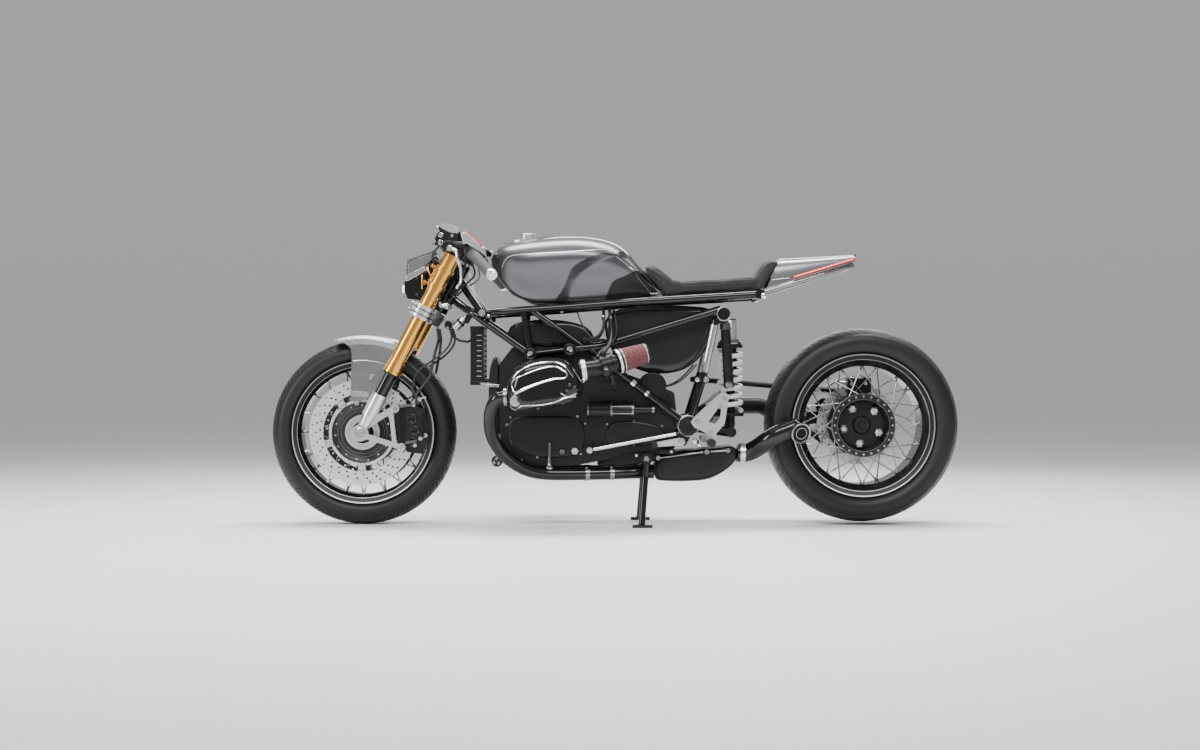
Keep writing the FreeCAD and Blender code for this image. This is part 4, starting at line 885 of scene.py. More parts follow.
def makeCoverTrim():
    # polished edges laid on the rocker covers: bars along traced lines, thick where the casting is machined
    cover = nodes["head_covers"]
    rides = ("frame", "head_covers")
    edges = [laidLine(coverTrim["panel"], cover, 1.9, closed=True)]
    edges += [laidLine(spots, cover, radius) for spots, radius in coverTrim["edges"]]
    makePair("coverEdges", edges, "polishedSteel", *rides)
    spot = layOn([coverTrim["bolt"]], cover)[0]
    washer = turned([(16.5, -6), (16.5, 3), (14.5, 5), (9.5, 5), (8.5, 2), (0, 2)], spot, left, 28)
    makePair("coverBolts", [washer, socketBolt(spot + [0, -2, 0], 7.2, 6)], "satinSilver", *rides)
    screws = [socketBolt(spot + [0, 1, 0], 5.2, 5) for spot in layOn(coverTrim["screws"], cover)]
    makePair("coverScrews", screws, "darkSteel", *rides)


# wheels
wheelTrim = {
    "spokePairs": 20,
    # radii of the rim and of the spokes' feet, the feet's two Y planes, the rim's offset, the spokes' lean, the valve
    "spokes": {"front": (202, 54, (-34, 34), 26, 52, 203), "rear": (192, 98, (-68, 38), 38, 30, 140)},
    "bobbinRadius": 111, "discFaceY": -70.5, "studRadius": 88,
    # radius, plane and half thickness of each turned line on the carrier
    "carrierLines": [(96.2, -66.2, 1.2), (80, -56, 1.1), (70, -52, 1.0)],
    "nutRadius": 61.5, "nutTurn": -24, "hubBoltRadius": 93.5, "hubFaceY": -74,
}


def around(axle, radius, degrees, y):
    turn = math.radians(degrees)
    return np.array([axle[0] + radius * math.cos(turn), y, axle[2] + radius * math.sin(turn)])


def makeNipples(end):
    # tapered nipples along both ends of every spoke, and the valve
    axle = np.array(bike[end + "Axle"])
    rim, hub, hubY, rimY, lean, valveTurn = wheelTrim["spokes"][end]
    made = []
    for i in range(wheelTrim["spokePairs"]):
        degrees = 360 * i / wheelTrim["spokePairs"]
        outer = around(axle, rim + 2, degrees, -rimY if i % 2 else rimY)
        for turn in (-lean, lean):
            inner = around(axle, hub, degrees + turn, hubY[0] if i % 2 else hubY[1])
            made.append(turned([(4.2, 0), (4.2, 6), (3.3, 8), (3.1, 17), (2.2, 19)], outer, inner - outer, 8))
            made.append(turned([(4.2, 0), (3.8, 6), (2.2, 9)], inner, outer - inner, 8))
    valve = around(axle, rim + 4, valveTurn, 0)
    made.append(turned([(4.2, 0), (4.2, 24), (3.5, 25), (3.5, 34), (0, 36)], valve, axle - valve, 10))
    makePiece(end + "Nipples", made, "gunSteel", end + "_wheel", end + "_rim")


def makeWheelTrim():
    makeNipples("front")
    makeNipples("rear")
    axle = bike["frontAxle"]
    disc = ("front_wheel", "front_discs")
    spots = [around(axle, wheelTrim["bobbinRadius"], -90 + 72 * i, wheelTrim["discFaceY"]) for i in range(5)]
    # painted shade: thin dark rings fill the gaps round the bobbins
    makePair("bobbinGaps", [turned([(12.5, 0), (12.5, 0.8), (14.4, 0.8), (14.4, 0)], spot, left, 30, True) for spot in spots],
             "soot", *disc)
    bobbin = [(12.5, -1), (12.5, 1.2), (11, 2.2), (7.2, 2.2), (6.6, 1), (5.8, 1), (5.2, 2.8), (0, 2.8)]
    makePair("discBobbins", [turned(bobbin, spot, left, 22) for spot in spots], "satinSilver", *disc)
    spots = [around(axle, wheelTrim["studRadius"] + 4 * (i % 3 == 0), -78 + 24 * i, -58.5) for i in range(15)]
    makePair("carrierStuds", [socketBolt(spot, 3.6, 4.5) for spot in spots], "polishedSteel", *disc)
    rings = [band(radius + thick, radius - thick, 0, 3, (axle[0], y, axle[2]), left, 96)
             for radius, y, thick in wheelTrim["carrierLines"]]
    makePair("carrierRings", rings, "darkSteel", *disc)
    hub = turned([(57.5, 0), (57.5, 10), (56, 13.5), (46, 13.5), (44, 11.5), (36, 11.5), (33, 6), (33, 0)],
                 (axle[0], -47, axle[2]), left, 72, closed=True)
    makePair("frontHubRings", [hub], "satinSilver", "front_wheel", "front_rim", bevel=0.4)
    makeRearHub()


def makeRearHub():
    axle = bike["rearAxle"]
    rides = ("rear_wheel", "rear_rim")
    nuts = []
    for i in range(5):
        spot = around(axle, wheelTrim["nutRadius"], wheelTrim["nutTurn"] + 72 * i, 10)
        nuts.append(turned([(18.5, 0), (18.5, 6), (17.2, 10), (16, 12)], spot, left, 30))
        nuts.append(turned([(17.2, 10), (16.8, 44), (14, 50), (8, 54), (7, 51), (0, 51)], spot, left, 6))
    makePiece("wheelNuts", nuts, "satinSilver", *rides, sharp=25)
    spots = [around(axle, wheelTrim["hubBoltRadius"], 15 * i, wheelTrim["hubFaceY"]) for i in range(24)]
    makePiece("hubFlangeBolts", [socketBolt(spot, 3.8, 4) for spot in spots], "polishedSteel", *rides)
    face = (axle[0], wheelTrim["hubFaceY"], axle[2])
    rings = [band(103.4, 101.2, -2, 1.6, face, left, 96), band(85, 83.6, -2, 1.2, face, left, 96)]
    makePiece("hubEdgeRing", rings, "gunSteel", *rides)
    floor = turned([(80, -46), (80, 2), (74, 6), (30, 6), (27, 18), (24, 21), (14, 21), (12, 16), (0, 16)],
                   (axle[0], -22, axle[2]), left, 72)
    makePiece("hubFloor", [floor], "castBlack", *rides, bevel=0.6)


# fork, fender and calipers
def forkSpot(x, y, height):
    # point in the fork's own upright frame: x forward-back and height along the legs, turned by the rake
    rake = math.radians(bike["rake"])
    axle = bike["frontAxle"]
    return np.array([axle[0] + x * math.cos(rake) + height * math.sin(rake), y,
                     axle[2] - x * math.sin(rake) + height * math.cos(rake)])


legAxis = forkSpot(0, 0, 1) - forkSpot(0, 0, 0)

forkTrim = {
    "legY": -112,
    # piece: finish, slot, sides, heights along the leg, profile
    "rings": {
        "clampRidges": ("satinSilver", "lower_clamp", 48, (413.5, 430, 447), [(36, 0), (39.2, 1.2), (39.2, 8.8), (36, 10)]),
        "clampGrooves": ("darkSteel", "lower_clamp", 48, (424.3, 440.5), [(35.5, 0), (36.6, 0.3), (36.6, 4.2), (35.5, 4.5)]),
        "forkWipers": ("rubber", "fork_tubes", 40, (208.5,), [(21.8, 0), (25.5, 0.5), (26.2, 6), (22.2, 8)]),
        "goldLips": ("gold", "fork_tubes", 48, (238.4, 253, 266), [(25.6, 0), (27.6, 1), (27.6, 4.4), (25.6, 5.4)]),
        "footRims": ("polishedSteel", "fork_feet", 40, (133.6,), [(24.7, 0), (25.3, 2), (25.3, 4), (22, 4.5)]),
    },
    # x, y, z, radius and height of the heads on the fork's feet
    "footBolts": [(-783.6, -79.6, 481.5, 7.8, 5.2), (-831.6, -79.6, 395.7, 7.8, 5.2), (-790, -79.6, 472, 4, 3)],
    "axleCap": [(18.2, 0), (18.2, 2), (16.8, 3.5), (12.5, 3.5), (11.5, 1.5), (8, 1.5), (7.5, 0.8), (0, 0.8)],
    "crease": [(-844, 531), (-820, 533), (-790, 531.5), (-765, 527), (-742, 520)],
    "band": [(-849, 434), (-802, 431), (-792, 424), (-798, 414), (-851, 419)],
}


def makeForkTrim():
    for name, (finish, slot, sides, heights, profile) in forkTrim["rings"].items():
        rings = [turned(profile, forkSpot(0, forkTrim["legY"], height), legAxis, sides, name == "clampRidges")
                 for height in heights]
        makePair(name, rings, finish, "steering", slot, bevel=0.4 if name == "clampRidges" else 0)
    bolts = [socketBolt(forkSpot(-40, -132, height), 6.2, 6) for height in (424, 446)]
    bolts += [socketBolt(forkSpot(-38, -132, height), 5, 5) for height in (647, 658)]
    bolts += [socketBolt(row[:3], *row[3:]) for row in forkTrim["footBolts"]]
    makePair("forkBolts", bolts, "polishedSteel", "steering", "lower_clamp")
    axle = bike["frontAxle"]
    makePair("axleCaps", [turned(forkTrim["axleCap"], (axle[0], -140, axle[2]), left, 32)], "polishedSteel", "steering",
             "fork_feet")
    rides = ("steering", "front_fender")
    makePair("fenderCrease", [laidLine(forkTrim["crease"], nodes["front_fender"], 1.2, 4)], "silverTrimAndHighlight", *rides)
    makePair("fenderBand", [plate(forkTrim["band"], -81.2, -79)], "silverTrimAndHighlight", *rides, bevel=0.6)


caliper = {
    # offsets from the axle in x and z
    "caps": [(166, 43), (175, 6), (166, -31)],
    "ribs": [[(124, 66), (142, 74), (140, -44), (128, -32)], [(192, 66), (200, 62), (209, -22), (199, -30)]],
    "bolts": [(112, 78), (132, -46)],
    # places in x and z, and pipes with their radius
    "unions": [(-627, 408.5), (-646.5, 389), (-625.1, 282.2), (-607.5, 293.8), (-642.6, 260.8)],
    "pipes": [[(-627, -100, 408.5), (-618, -100, 413), (-608, -99, 415)],
              [(-625.1, -100, 282.2), (-615, -100, 284), (-606, -100, 290)]],
    "pins": [([(-697.3, -113, 383.2), (-666, -108, 388), (-648, -101, 389)], 4.2),
             ([(-673.7, -113, 268), (-656, -108, 271), (-638, -101, 274)], 4.8)],
}


def makeCaliperTrim():
    ax, _, az = bike["frontAxle"]
    rides = ("steering", "front_calipers")
    cap = [(17.2, 0), (17.2, 3), (15.8, 4.4), (10.5, 4.4), (9.8, 3), (0, 3)]
    dark = [turned(cap, (ax + x, -99.5, az + z), left, 30) for x, z in caliper["caps"]]
    dark += [plate(np.array(rib) + [ax, az], -103.2, -99) for rib in caliper["ribs"]]
    makePair("caliperCaps", dark, "glossBlack", *rides, bevel=0.8)
    silver = [socketBolt((ax + x, -119, az + z), 6.8, 7) for x, z in caliper["bolts"]]
    union = [(5, 0), (5, 10), (6.6, 11), (6.6, 17), (4, 19), (0, 19)]
    silver += [turned(union, (x, -90.5, z), left, 6 if i % 2 else 12) for i, (x, z) in enumerate(caliper["unions"])]
    silver += [tube(path, 3.4, 10) for path in caliper["pipes"]]
    makePair("caliperFittings", silver, "polishedSteel", *rides)
    makePair("caliperPins", [tube(path, radius, 10) for path, radius in caliper["pins"]], "darkSteel", *rides)


# cockpit
cockpit = {
    "gripStart": (-448, -215, 866), "gripEnd": (-386, -330, 798),
    "barEnd": [(16.5, 0.6), (17.8, 1.6), (17.8, 12.5), (16.6, 14.8), (14, 14.8), (13.7, 19), (12.9, 20.6), (10, 20.8),
               (9.4, 20.2), (6.6, 20.2), (6, 21.6), (4, 21.6), (3.5, 20.3), (0, 20.3)],
    "housing": [(11.3, -44), (20, -44), (22, -42), (22, -25), (21.2, -24.3), (21.2, -23.7), (22, -23), (22, -6),
                (20, -4), (11.3, -4)],
    "perch": [(11.3, -64), (17.5, -64), (19, -62.5), (19, -47.5), (17.5, -46), (11.3, -46)],
    "pump": [(-552, -167, 906), (-548, -167.5, 905.4), (-505, -176, 898), (-474, -181, 893.5), (-470, -182, 893)],
    # outlines in x and z of the reservoir, its tower, its back plate and the pump's root, with their Y planes
    "bodies": [([(-561, 956), (-546, 963), (-528, 963), (-495, 939), (-502, 924), (-540, 920), (-556, 936)], -171.5, -128.5),
               ([(-537, 893), (-538, 926), (-502, 926), (-498, 893)], -172, -150),
               ([(-581, 902), (-562, 938), (-500, 934), (-498, 888), (-548, 890)], -174.5, -166),
               ([(-545, 878), (-548, 892), (-538, 906), (-512, 904), (-508, 880)], -190, -160)],
    "lids": [([(-561, 958), (-546, 964.5), (-528, 964.5), (-493.5, 941), (-501, 934), (-523, 937), (-550, 950)],
              -173.8, -171.2),
             ([(-561, 956.5), (-561, 958.4), (-546, 965), (-528, 965), (-493.5, 941), (-495, 939.4), (-528, 962.8),
               (-546, 962.8)], -173.8, -126.2)],
    "pod": [(-486, 930), (-471, 935), (-443, 913), (-409, 875), (-407, 859), (-428, 873), (-468, 900), (-478, 896)],
    "podEdge": [(-477, 934), (-470, 939.5), (-440, 917), (-417, 891), (-423, 884), (-447, 908), (-470, 928)],
    "lever": [(-531, -182, 884), (-514, -186, 884), (-501, -194, 874), (-499, -204, 852), (-489, -222, 829),
              (-483, -250, 793), (-484, -272, 768), (-493, -285, 757)],
    "leverRadius": [9, 10.5, 10, 7.5, 6, 5.6, 6.0, 6.4],
    "fittings": [(-566, 950, 7.5), (-553, 928, 8.5), (-574, 909, 7), (-553, 905, 9), (-517, 926, 6), (-510, 896, 6.5)],
    # black cables from each bar, inside the fork legs, down to the lower clamp
    "cables": [
        [(-508, -158, 893), (-492, -128, 884), (-482, -84, 852), (-497, -52, 800), (-528, -38, 748), (-552, -32, 704)],
        [(-552, -166, 901), (-575, -150, 880), (-583, -100, 850), (-566, -62, 792), (-566, -48, 740), (-566, -42, 707)],
        [(-462, -186, 868), (-455, -150, 838), (-452, -100, 806), (-482, -66, 780), (-524, -52, 742), (-545, -46, 702)]],
}


def makeCockpit():
    # turned grips and housings on the bar's line, plates beside them, a lever as a flattened bar
    start, end = np.array(cockpit["gripStart"]), np.array(cockpit["gripEnd"])
    along = end - start
    controls = ("steering", "hand_controls")
    profile = [(11.3, 0), (19.5, 0), (20.8, 1.2), (20.8, 4.8), (17.2, 6.4)] + ribbed(23, 8.5, 5.8, 17, 16.2, 3.4)
    profile += [(17, 143.2), (16.5, 145), (11.3, 145)]
    makePair("ribbedGrips", [turned(profile, start, along, 40, True)], "gripGrey", "steering", "grips", ["grips"])
    makePair("barEndRings", [turned(cockpit["barEnd"], end, along, 40)], "satinSilver", "steering", "handlebars")
    bodies = [turned(cockpit["housing"], start, along, 36, True), turned(cockpit["perch"], start, along, 32, True),
              tube(cockpit["pump"], [10.5, 13, 13, 13, 11.5], 28)] + [plate(*row) for row in cockpit["bodies"]]
    makePair("leverHousings", bodies, "satinBlack", *controls, ["hand_controls"], bevel=1)
    makePair("reservoirLids", [plate(*row) for row in cockpit["lids"]], "lidGrey", *controls, bevel=0.6)
    radius = np.interp(np.linspace(0, 7, 36), range(8), cockpit["leverRadius"])
    blade = tube(smoothPath(cockpit["lever"], 5), radius, 16, flat=0.62)
    pin = turned([(8.5, -30), (8.5, 0), (7.2, 1.8), (0, 1.8)], (-524, -198.5, 886), left, 20)
    makePair("handLevers", [blade, pin], "satinSilver", *controls)
    makePair("switchPods", [plate(cockpit["pod"], -226, -190)], "satinSilver", *controls, bevel=1.6)
    makePair("switchEdges", [plate(cockpit["podEdge"], -224.5, -220)], "switchRed", *controls, bevel=0.8)
    fittings = [turned([(r, 0), (r, 6), (r * 0.86, 7.5), (r * 0.5, 7.5), (r * 0.42, 4), (0, 4)], (x, -174.2, z), left, 20)
                for x, z, r in cockpit["fittings"]]
    makePair("pumpFittings", fittings, "polishedSteel", *controls)
    makeGauge()
    cables = [hose(path, 4.2 - 0.5 * i) for i, path in enumerate(cockpit["cables"])]
    makePair("controlCables", cables, "hoseBlack", "steering", "brake_hoses")
    ends = [turned([(4, -3), (5.8, -2), (5.8, 8), (5, 10), (4.6, 16)], path[-1], np.subtract(path[-2], path[-1]), 14)
            for path in cockpit["cables"]]
    makePair("cableEnds", ends, "satinSilver", "steering", "brake_hoses")


gauge = {
    "centre": (63, 0, 690.3),
    # piece: finish, bevel, profile
    "turned": {
        "gaugeCase": ("satinBlack", 0.6, [(0, 0), (30, 0), (36, 4), (37.5, 10), (37.5, 18)]),
        "gaugeRim": ("polishedSteel", 0, [(37.5, 17.8), (38.5, 18.5), (38.5, 22.5), (36.5, 24), (34, 24), (33.5, 20)]),
        "gaugeFace": ("darkGlass", 0, [(33.7, 20.5), (20, 21.2), (0, 21.6)]),
    },
    "lift": 0.0212, "marks": (-215, 35, 11),
}


def makeGauge():
    # round instrument on the plate over the upper clamp, with plain marks round a part circle
    base = forkSpot(*gauge["centre"])
    rides = ("steering", "upper_clamp")
    for name, (finish, bevel, profile) in gauge["turned"].items():
        makePiece(name, [turned(profile, base, legAxis, 56)], finish, *rides, bevel=bevel)
    foot = base + legAxis * gauge["lift"]
    across = np.cross(legAxis, right)
    marks = []
    for angle in np.radians(np.linspace(*gauge["marks"])):
        out = across * math.sin(angle) + np.array(right) * math.cos(angle)
        marks.append(tube([foot + out * 25, foot + out * 30], 0.6, 6))
    marks.append(tube([foot, foot - across * 12 + [0, -17, 0]], 0.7, 6))
    makePiece("gaugeMarks", marks, "switchWhite", *rides)
    top = forkSpot(0, forkTrim["legY"], 715)
    caps = [turned([(14.5, 0), (14.5, 4), (12, 5.5), (8, 5.5), (7.5, 3), (0, 3)], top, legAxis, 6),
            turned([(24.5, -1), (24.5, 3), (22.5, 4.5), (14.5, 4.5), (14.5, 0)], top, legAxis, 48)]
    makePair("forkCaps", caps, "satinBlack", "steering", "fork_tubes")
    stem = turned([(20, 0), (20, 4.5), (18, 6), (11, 6), (9.5, 2.5), (0, 2.5)], forkSpot(30, 0, 680), legAxis, 6)
    makePiece("stemNut", [stem], "polishedSteel", *rides)


# headlight
headlight = {
    # piece: outline in x and z, Y planes, finish, slot, bevel
    "plates": {
        "visorCheeks": ([(-671, 793), (-666, 852), (-587, 880), (-581, 867), (-615, 836), (-611, 824)], -76.8, -70.5,
                        "silverGrey", "headlight_visor", 1.2),
        # painted highlight: the lit lower band of the visor's side is a brighter silver plate over the cheek
        "visorLipHighlights": ([(-676, 790), (-673, 808), (-617, 835), (-609, 822), (-668, 788)], -78.5, -70,
                      "silverTrimAndHighlight", "headlight_visor", 1.6),
        "ledBars": ([(-686, 753), (-682, 752), (-680.5, 775), (-684.5, 776)], -73.2, -56,
                    "whiteLight", "headlight", 0.6),
    },
    "struts": [[(-622, -76, 808), (-622, -79, 800), (-622, -79, 772), (-622, -75, 764)],
               [(-607, -76, 832), (-604, -79, 826), (-591, -79, 800), (-589, -75, 792)]],
    "back": [(-616, 736), (-613, 812), (-601, 845), (-588, 866), (-567, 852), (-572, 800), (-590, 744)],
}


def makeHeadlightTrim():
    front = (-1, 0, 0)
    rides = ("steering", "headlight")
    for name, (outline, near, far, finish, slot, bevel) in headlight["plates"].items():
        makePair(name, [plate(outline, near, far)], finish, "steering", slot, bevel=bevel)
    makePair("visorStruts", [tube(path, 3.2) for path in headlight["struts"]], "gold", "steering", "fork_tubes")
    ring = [(17.5, -2), (19, 0), (19, 3), (17.2, 4.2), (15, 3), (15, -2)]
    dome = [(15 * math.cos(a), 0.5 + 5.5 * math.sin(a)) for a in np.radians(np.linspace(0, 90, 7))]
    lamps = [(-674, y, 763) for y in (-30, 30)]
    makePiece("lampRings", [turned(ring, spot, front, 40, True) for spot in lamps], "satinSilver", *rides)
    makePiece("lampLenses", [turned(dome, spot, front, 36) for spot in lamps], "clearGlass", *rides)
    bars = [tube([(-683.8, -60, z), (-683.8, 60, z)], 1.4, 8) for z in (740, 786)]
    makePiece("lampFrame", bars, "darkSteel", *rides)
    makePair("headlightScrews", [socketBolt((-640, -72.2, z), 4.6, 4) for z in (745, 800)], "darkSteel", *rides)
    makePiece("headlightBack", [pillow(headlight["back"], 62, 10)], "satinBlack", *rides, sharp=60)


# hose splitter behind the lower clamp, and the reservoir on the frame beside it
clampFittings = {
    "block": [(-552, 640), (-550, 662), (-530, 658), (-526, 640), (-538, 632)],
    "nuts": [(-541, 638), (-526, 657), (-548, 660)],
    "hose": [(-536, -56, 636), (-528, -66, 612), (-538, -76, 578), (-566, -86, 548), (-600, -90, 524),
             (-632, -90, 500), (-650, -89, 460), (-650, -88, 420)],
    "can": [(0, -2), (12.5, -2), (13.8, 0), (13.8, 40), (12.8, 42.5), (9.5, 42.5), (9.5, 52), (0, 52)],
    "canFoot": (-516, -86, 636), "canAxis": (31, 0, 31),
    "bracket": [(-492, 655), (-470, 690), (-452, 684), (-472, 650)],
    "arm": [(-482, -86, 669), (-470, -92, 678), (-462, -98, 684)],
    "drain": [(-520, -86, 634), (-526, -86, 622), (-518, -84, 606), (-500, -80, 596), (-476, -78, 592), (-462, -76, 600)],
}


def makeClampFittings():
    c = clampFittings
    rides = ("steering", "lower_clamp")
    makePair("hoseSplitter", [plate(c["block"], -60, -34)], "satinBlack", *rides, bevel=1.5)
    nuts = [turned([(6, -4), (6, 6), (4.5, 8), (0, 8)], (x, -60, z), left, 6) for x, z in c["nuts"]]
    nuts.append(turned([(7.5, 0), (7.5, 14), (6, 18), (0, 18)], (-553, -118, 708), (0.9, -0.1, 0.2), 12))
    makePair("splitterNuts", nuts, "polishedSteel", *rides)
    makePair("lowerHoses", [hose(c["hose"], 3.6)], "hoseBlack", "steering", "brake_hoses")
    makePiece("lineReservoir", [turned(c["can"], c["canFoot"], c["canAxis"], 32)], "satinSilver", "frame", "main_frame")
    held = [plate(c["bracket"], -99, -95), band(14, 15.5, 22, 30, c["canFoot"], c["canAxis"], 32), tube(c["arm"], 6),
            tube(c["drain"], 4.2, 10)]
    makePiece("lineBracket", held, "satinBlack", "frame", "main_frame")


# tail
tail = {
    # x, low, high and half width of the cowl
    "cowl": [(478, 763, 860, 112), (600, 800.5, 866, 94), (700, 831, 871, 78), (776, 853.5, 876, 64)],
    "strip": [(572, -102.2, 799), (600, -98.2, 807.5), (650, -90.2, 822.7), (700, -82.2, 838), (764, -70.7, 857.5),
              (776, -68.9, 861)],
    "lines": [([(502, 790), (530, 794), (560, 797.5)], 1.1), ([(499, 796), (510, 820), (524, 850)], 1.0)],
    "end": [(772, 858.5), (776.4, 857.5), (778.8, 875.6), (774, 876)],
    "ball": [(0, -12), (7, -12), (7, 0), (9.6, 2.8), (10.4, 7), (9.2, 11.2), (5, 13.8), (0, 14.4)],
}


def cowlRow(x):
    # low, high and half width of the cowl at x
    table = np.array(tail["cowl"], float)
    return [np.interp(x, table[:, 0], table[:, column]) for column in (1, 2, 3)]


def cowlSide(x, z):
    # left side of the cowl: y = -w cos(t)^0.42 where sin(t)^0.62 is the share of the height reached
    low, high, wide = cowlRow(x)
    share = np.clip((z - low) / (high - low), 0, 1) ** (1 / 0.62)
    return -wide * np.sqrt(1 - share * share) ** 0.42


def makeTailCowl():
    # wedge with crowned shoulders: half width and height follow a superellipse, rows run from the sloped front
    t = np.linspace(0, math.pi / 2, 15)
    upward = np.abs(np.sin(t)) ** 0.62
    u = np.linspace(0, 1, 34)[:, None]
    z = 763 + (860 - 763) * upward[None] * np.ones_like(u)
    for _ in range(4):
        start = 473.5 + (z - 740) * 0.473
        x = start + (776 - start) * u
        low, high, wide = cowlRow(x)
        z = low + (high - low) * upward[None]
    near = np.stack([x, -wide * np.abs(np.cos(t)) ** 0.42, z], axis=2)
    shell = np.concatenate([near, near[:, ::-1][:, 1:] * [1, -1, 1]], axis=1)
    makePiece("tailShell", [gridMesh(shell, closeV=True, caps=True)], "silverGrey", "frame", "tail_cowl", ["tail_cowl"],
              sharp=38)


def makeTailTrim():
    makeTailCowl()
    core = smoothPath(np.array(tail["strip"]) + [0, -3.4, 0.4], 4)
    radius = np.interp(np.linspace(0, 1, len(core)), [0, 0.1, 0.8, 1], [0.6, 1.6, 1.3, 0.5])
    makePair("tailCore", [tube(core, radius, 10)], "pinkLight", "frame", "tail_light")
    lines = []
    for spots, radius in tail["lines"]:
        x, z = np.array(spots, float).T
        lines.append(hose(np.stack([x, cowlSide(x, z) - 0.2, z], axis=1), radius, 8, 5))
    makePair("tailLines", lines, "silverTrimAndHighlight", "frame", "tail_cowl")
    makePiece("tailEnd", [plate(tail["end"], -60, 60)], "castBlack", "frame", "tail_cowl", bevel=0.8)
    makePair("railBalls", [turned(tail["ball"], (474, -129, 739.4), left, 28)], "polishedSteel", "frame", "main_frame")
    plug = turned([(9.5, -4), (10, 0), (9, 2), (0, 3)], (772, -26, 841), (1, 0, 0.2), 24)
    makePair("tailPlugs", [plug], "satinBlack", "frame", "rear_frame")


# frame fittings
frameTrim = {
    "knots": [(-271, 553), (-145, 568)], "faceY": -137, "pivot": (234, -136, 323),
    # profile, centre, sides
    "bolts": [
        ([(12, -1), (12, 2.8), (11, 4.4), (7.2, 4.4), (6.6, 2), (4, 2), (3.6, 5), (0, 5)], (-425, -137, 684), 30),
        ([(6.2, -2), (6.2, 6), (5, 7.4), (0, 7.4)], (-404, -137, 672), 6),
        ([(9, -1), (9, 4), (7, 6), (0, 6.2)], (290, -136.2, 470), 24),
        ([(7, -1), (7, 4), (0, 5.6)], (262, -134, 471.3), 20)],
    "tabs": [([(254, 462), (252, 478), (276, 484), (280, 462)], -134.5, -124.5),
             ([(-412, 664), (-410, 686), (-396, 680), (-398, 662)], -137.2, -115)],
    # ends of a tube, radius, and the two heights that the sleeve covers
    "sleeves": [((-90, -122, 575), (234, -122, 323), 13.2, 180, 196), ((-90, -122, 575), (234, -122, 323), 13.2, 236, 248),
                ((321, -122, 660), (280, -122, 470), 12.3, 14, 170), ((-82, -131, 246), (206, -131, 300), 7.1, 12, 280)],
}


def makeFrameTrim():
    f = frameTrim
    rides = ("frame", "main_frame")
    bolt = [(10, -1), (10, 3), (8.8, 6.8), (6, 8.8), (3.2, 8.8), (3, 6), (0, 6)]
    ring = [(17.5, -1), (17.5, 1.6), (16, 2.2), (12.5, 0.8), (12.5, -1)]
    spots = [(x, f["faceY"], z) for x, z in f["knots"]]
    bolts = [turned(bolt, spot, left, 26) for spot in spots]
    bolts += [turned(profile, spot, left, sides) for profile, spot, sides in f["bolts"]]
    makePair("frameBolts", bolts, "polishedSteel", *rides)
    washers = [turned(ring, spot, left, 40, closed=True) for spot in spots] + [plate(*tab) for tab in f["tabs"]]
    washers.append(turned([(29, -1), (29, 1.2), (27, 2), (16, 0.4), (0, 0.4)], f["pivot"], left, 56))
    makePair("frameWashers", washers, "satinBlack", *rides)
    hoops = [turned([(23.6, -22), (23.6, 1.2), (21.6, 2.2), (19.8, 1.2), (19.8, -4), (0, -4)], (347, f["faceY"], 681),
                    left, 60),
             turned([(34.4, -3), (34.4, 1.4), (32.8, 2.2), (31.2, 1.2), (31.2, -3)], f["pivot"], left, 60, closed=True)]
    makePair("frameHoops", hoops, "gunSteel", *rides)
    sleeves = [sleeve(a, np.subtract(b, a), radius, low, high) for a, b, radius, low, high in f["sleeves"]]
    makePair("frameSleeves", sleeves, "polishedSteel", *rides)
    ends = [turned([(10.5, -12), (10.5, 10), (8.8, 12), (0, 12)], (-82, -138.5, 246), left, 24),
            socketBolt((-82, -150.2, 246), 6.2, 4)]
    makePair("rodEnds", ends, "satinSilver", *rides)


# engine
engine = {
    "nuts": [(-169.8, 239.8, 10.5, "darkSteel"), (-129.4, 241.8, 12.5, "satinSilver")],
    "bolts": [(-347, 326, 5.5), (-121, 353, 5.5), (-330, 270, 4.5), (-250, 222, 4.5), (-110, 232, 4.5), (-336, 350, 4.5),
              (-96, 330, 4.5), (-10, 256, 4.5), (60, 262, 4.5), (120, 268, 4.5), (156, 290, 4.5), (150, 322, 4.5),
              (60, 336, 4.5), (-26, 328, 4.5), (-300, 214, 4.5)],
    "plug": [(0, -2), (13.5, 0), (14, 6), (8.5, 14), (6, 30), (4.2, 50), (3.6, 84), (0, 88)],
    "slot": [(-270, 587), (-270, 598), (-203, 589), (-203, 578)],
    "footRadius": 83, "footY": -106.8,
}


def makeEngineTrim():
    block = nodes["engine_block"]
    rides = ("frame", "engine_block")
    for index, (x, z, r, finish) in enumerate(engine["nuts"]):
        spot = layOn([(x, z)], block)[0]
        boss = turned([(r * 1.3, -4), (r * 1.3, 4), (r * 1.15, 5.5), (0, 5.5)], spot, left, 36)
        nut = turned([(r, 5), (r, 11), (r * 0.86, 12.8), (r * 0.5, 12.8), (r * 0.45, 8), (0, 8)], spot, left, 6)
        makePair(f"caseBoss{index}", [boss], "castBlack", *rides, bevel=0.6)
        makePair(f"caseNut{index}", [nut], finish, *rides, sharp=25)
    spots = layOn([row[:2] for row in engine["bolts"]], block) + [0, 0.8, 0]
    heads = [socketBolt(spot, row[2], 5.2) for spot, row in zip(spots, engine["bolts"])]
    makePair("caseBolts", heads, "gunSteel", *rides)
    makePair("sumpPlug", [turned(engine["plug"], (-211.5, -118, 184), (0.02, 0, 1), 20)], "gunSteel", *rides)
    # painted shade: a black plate on the cover stands in for the shade inside the slot
    makePair("coverSlotShade", [plate(engine["slot"], -88, -82)], "glossBlack", "frame", "engine_covers", bevel=0.8)
    studs = [hexNut(around(bike["crank"], engine["footRadius"], 45 + 90 * i, engine["footY"]), 7.8, 6.5) for i in range(4)]
    makePair("cylinderNuts", studs, "gunSteel", *rides)


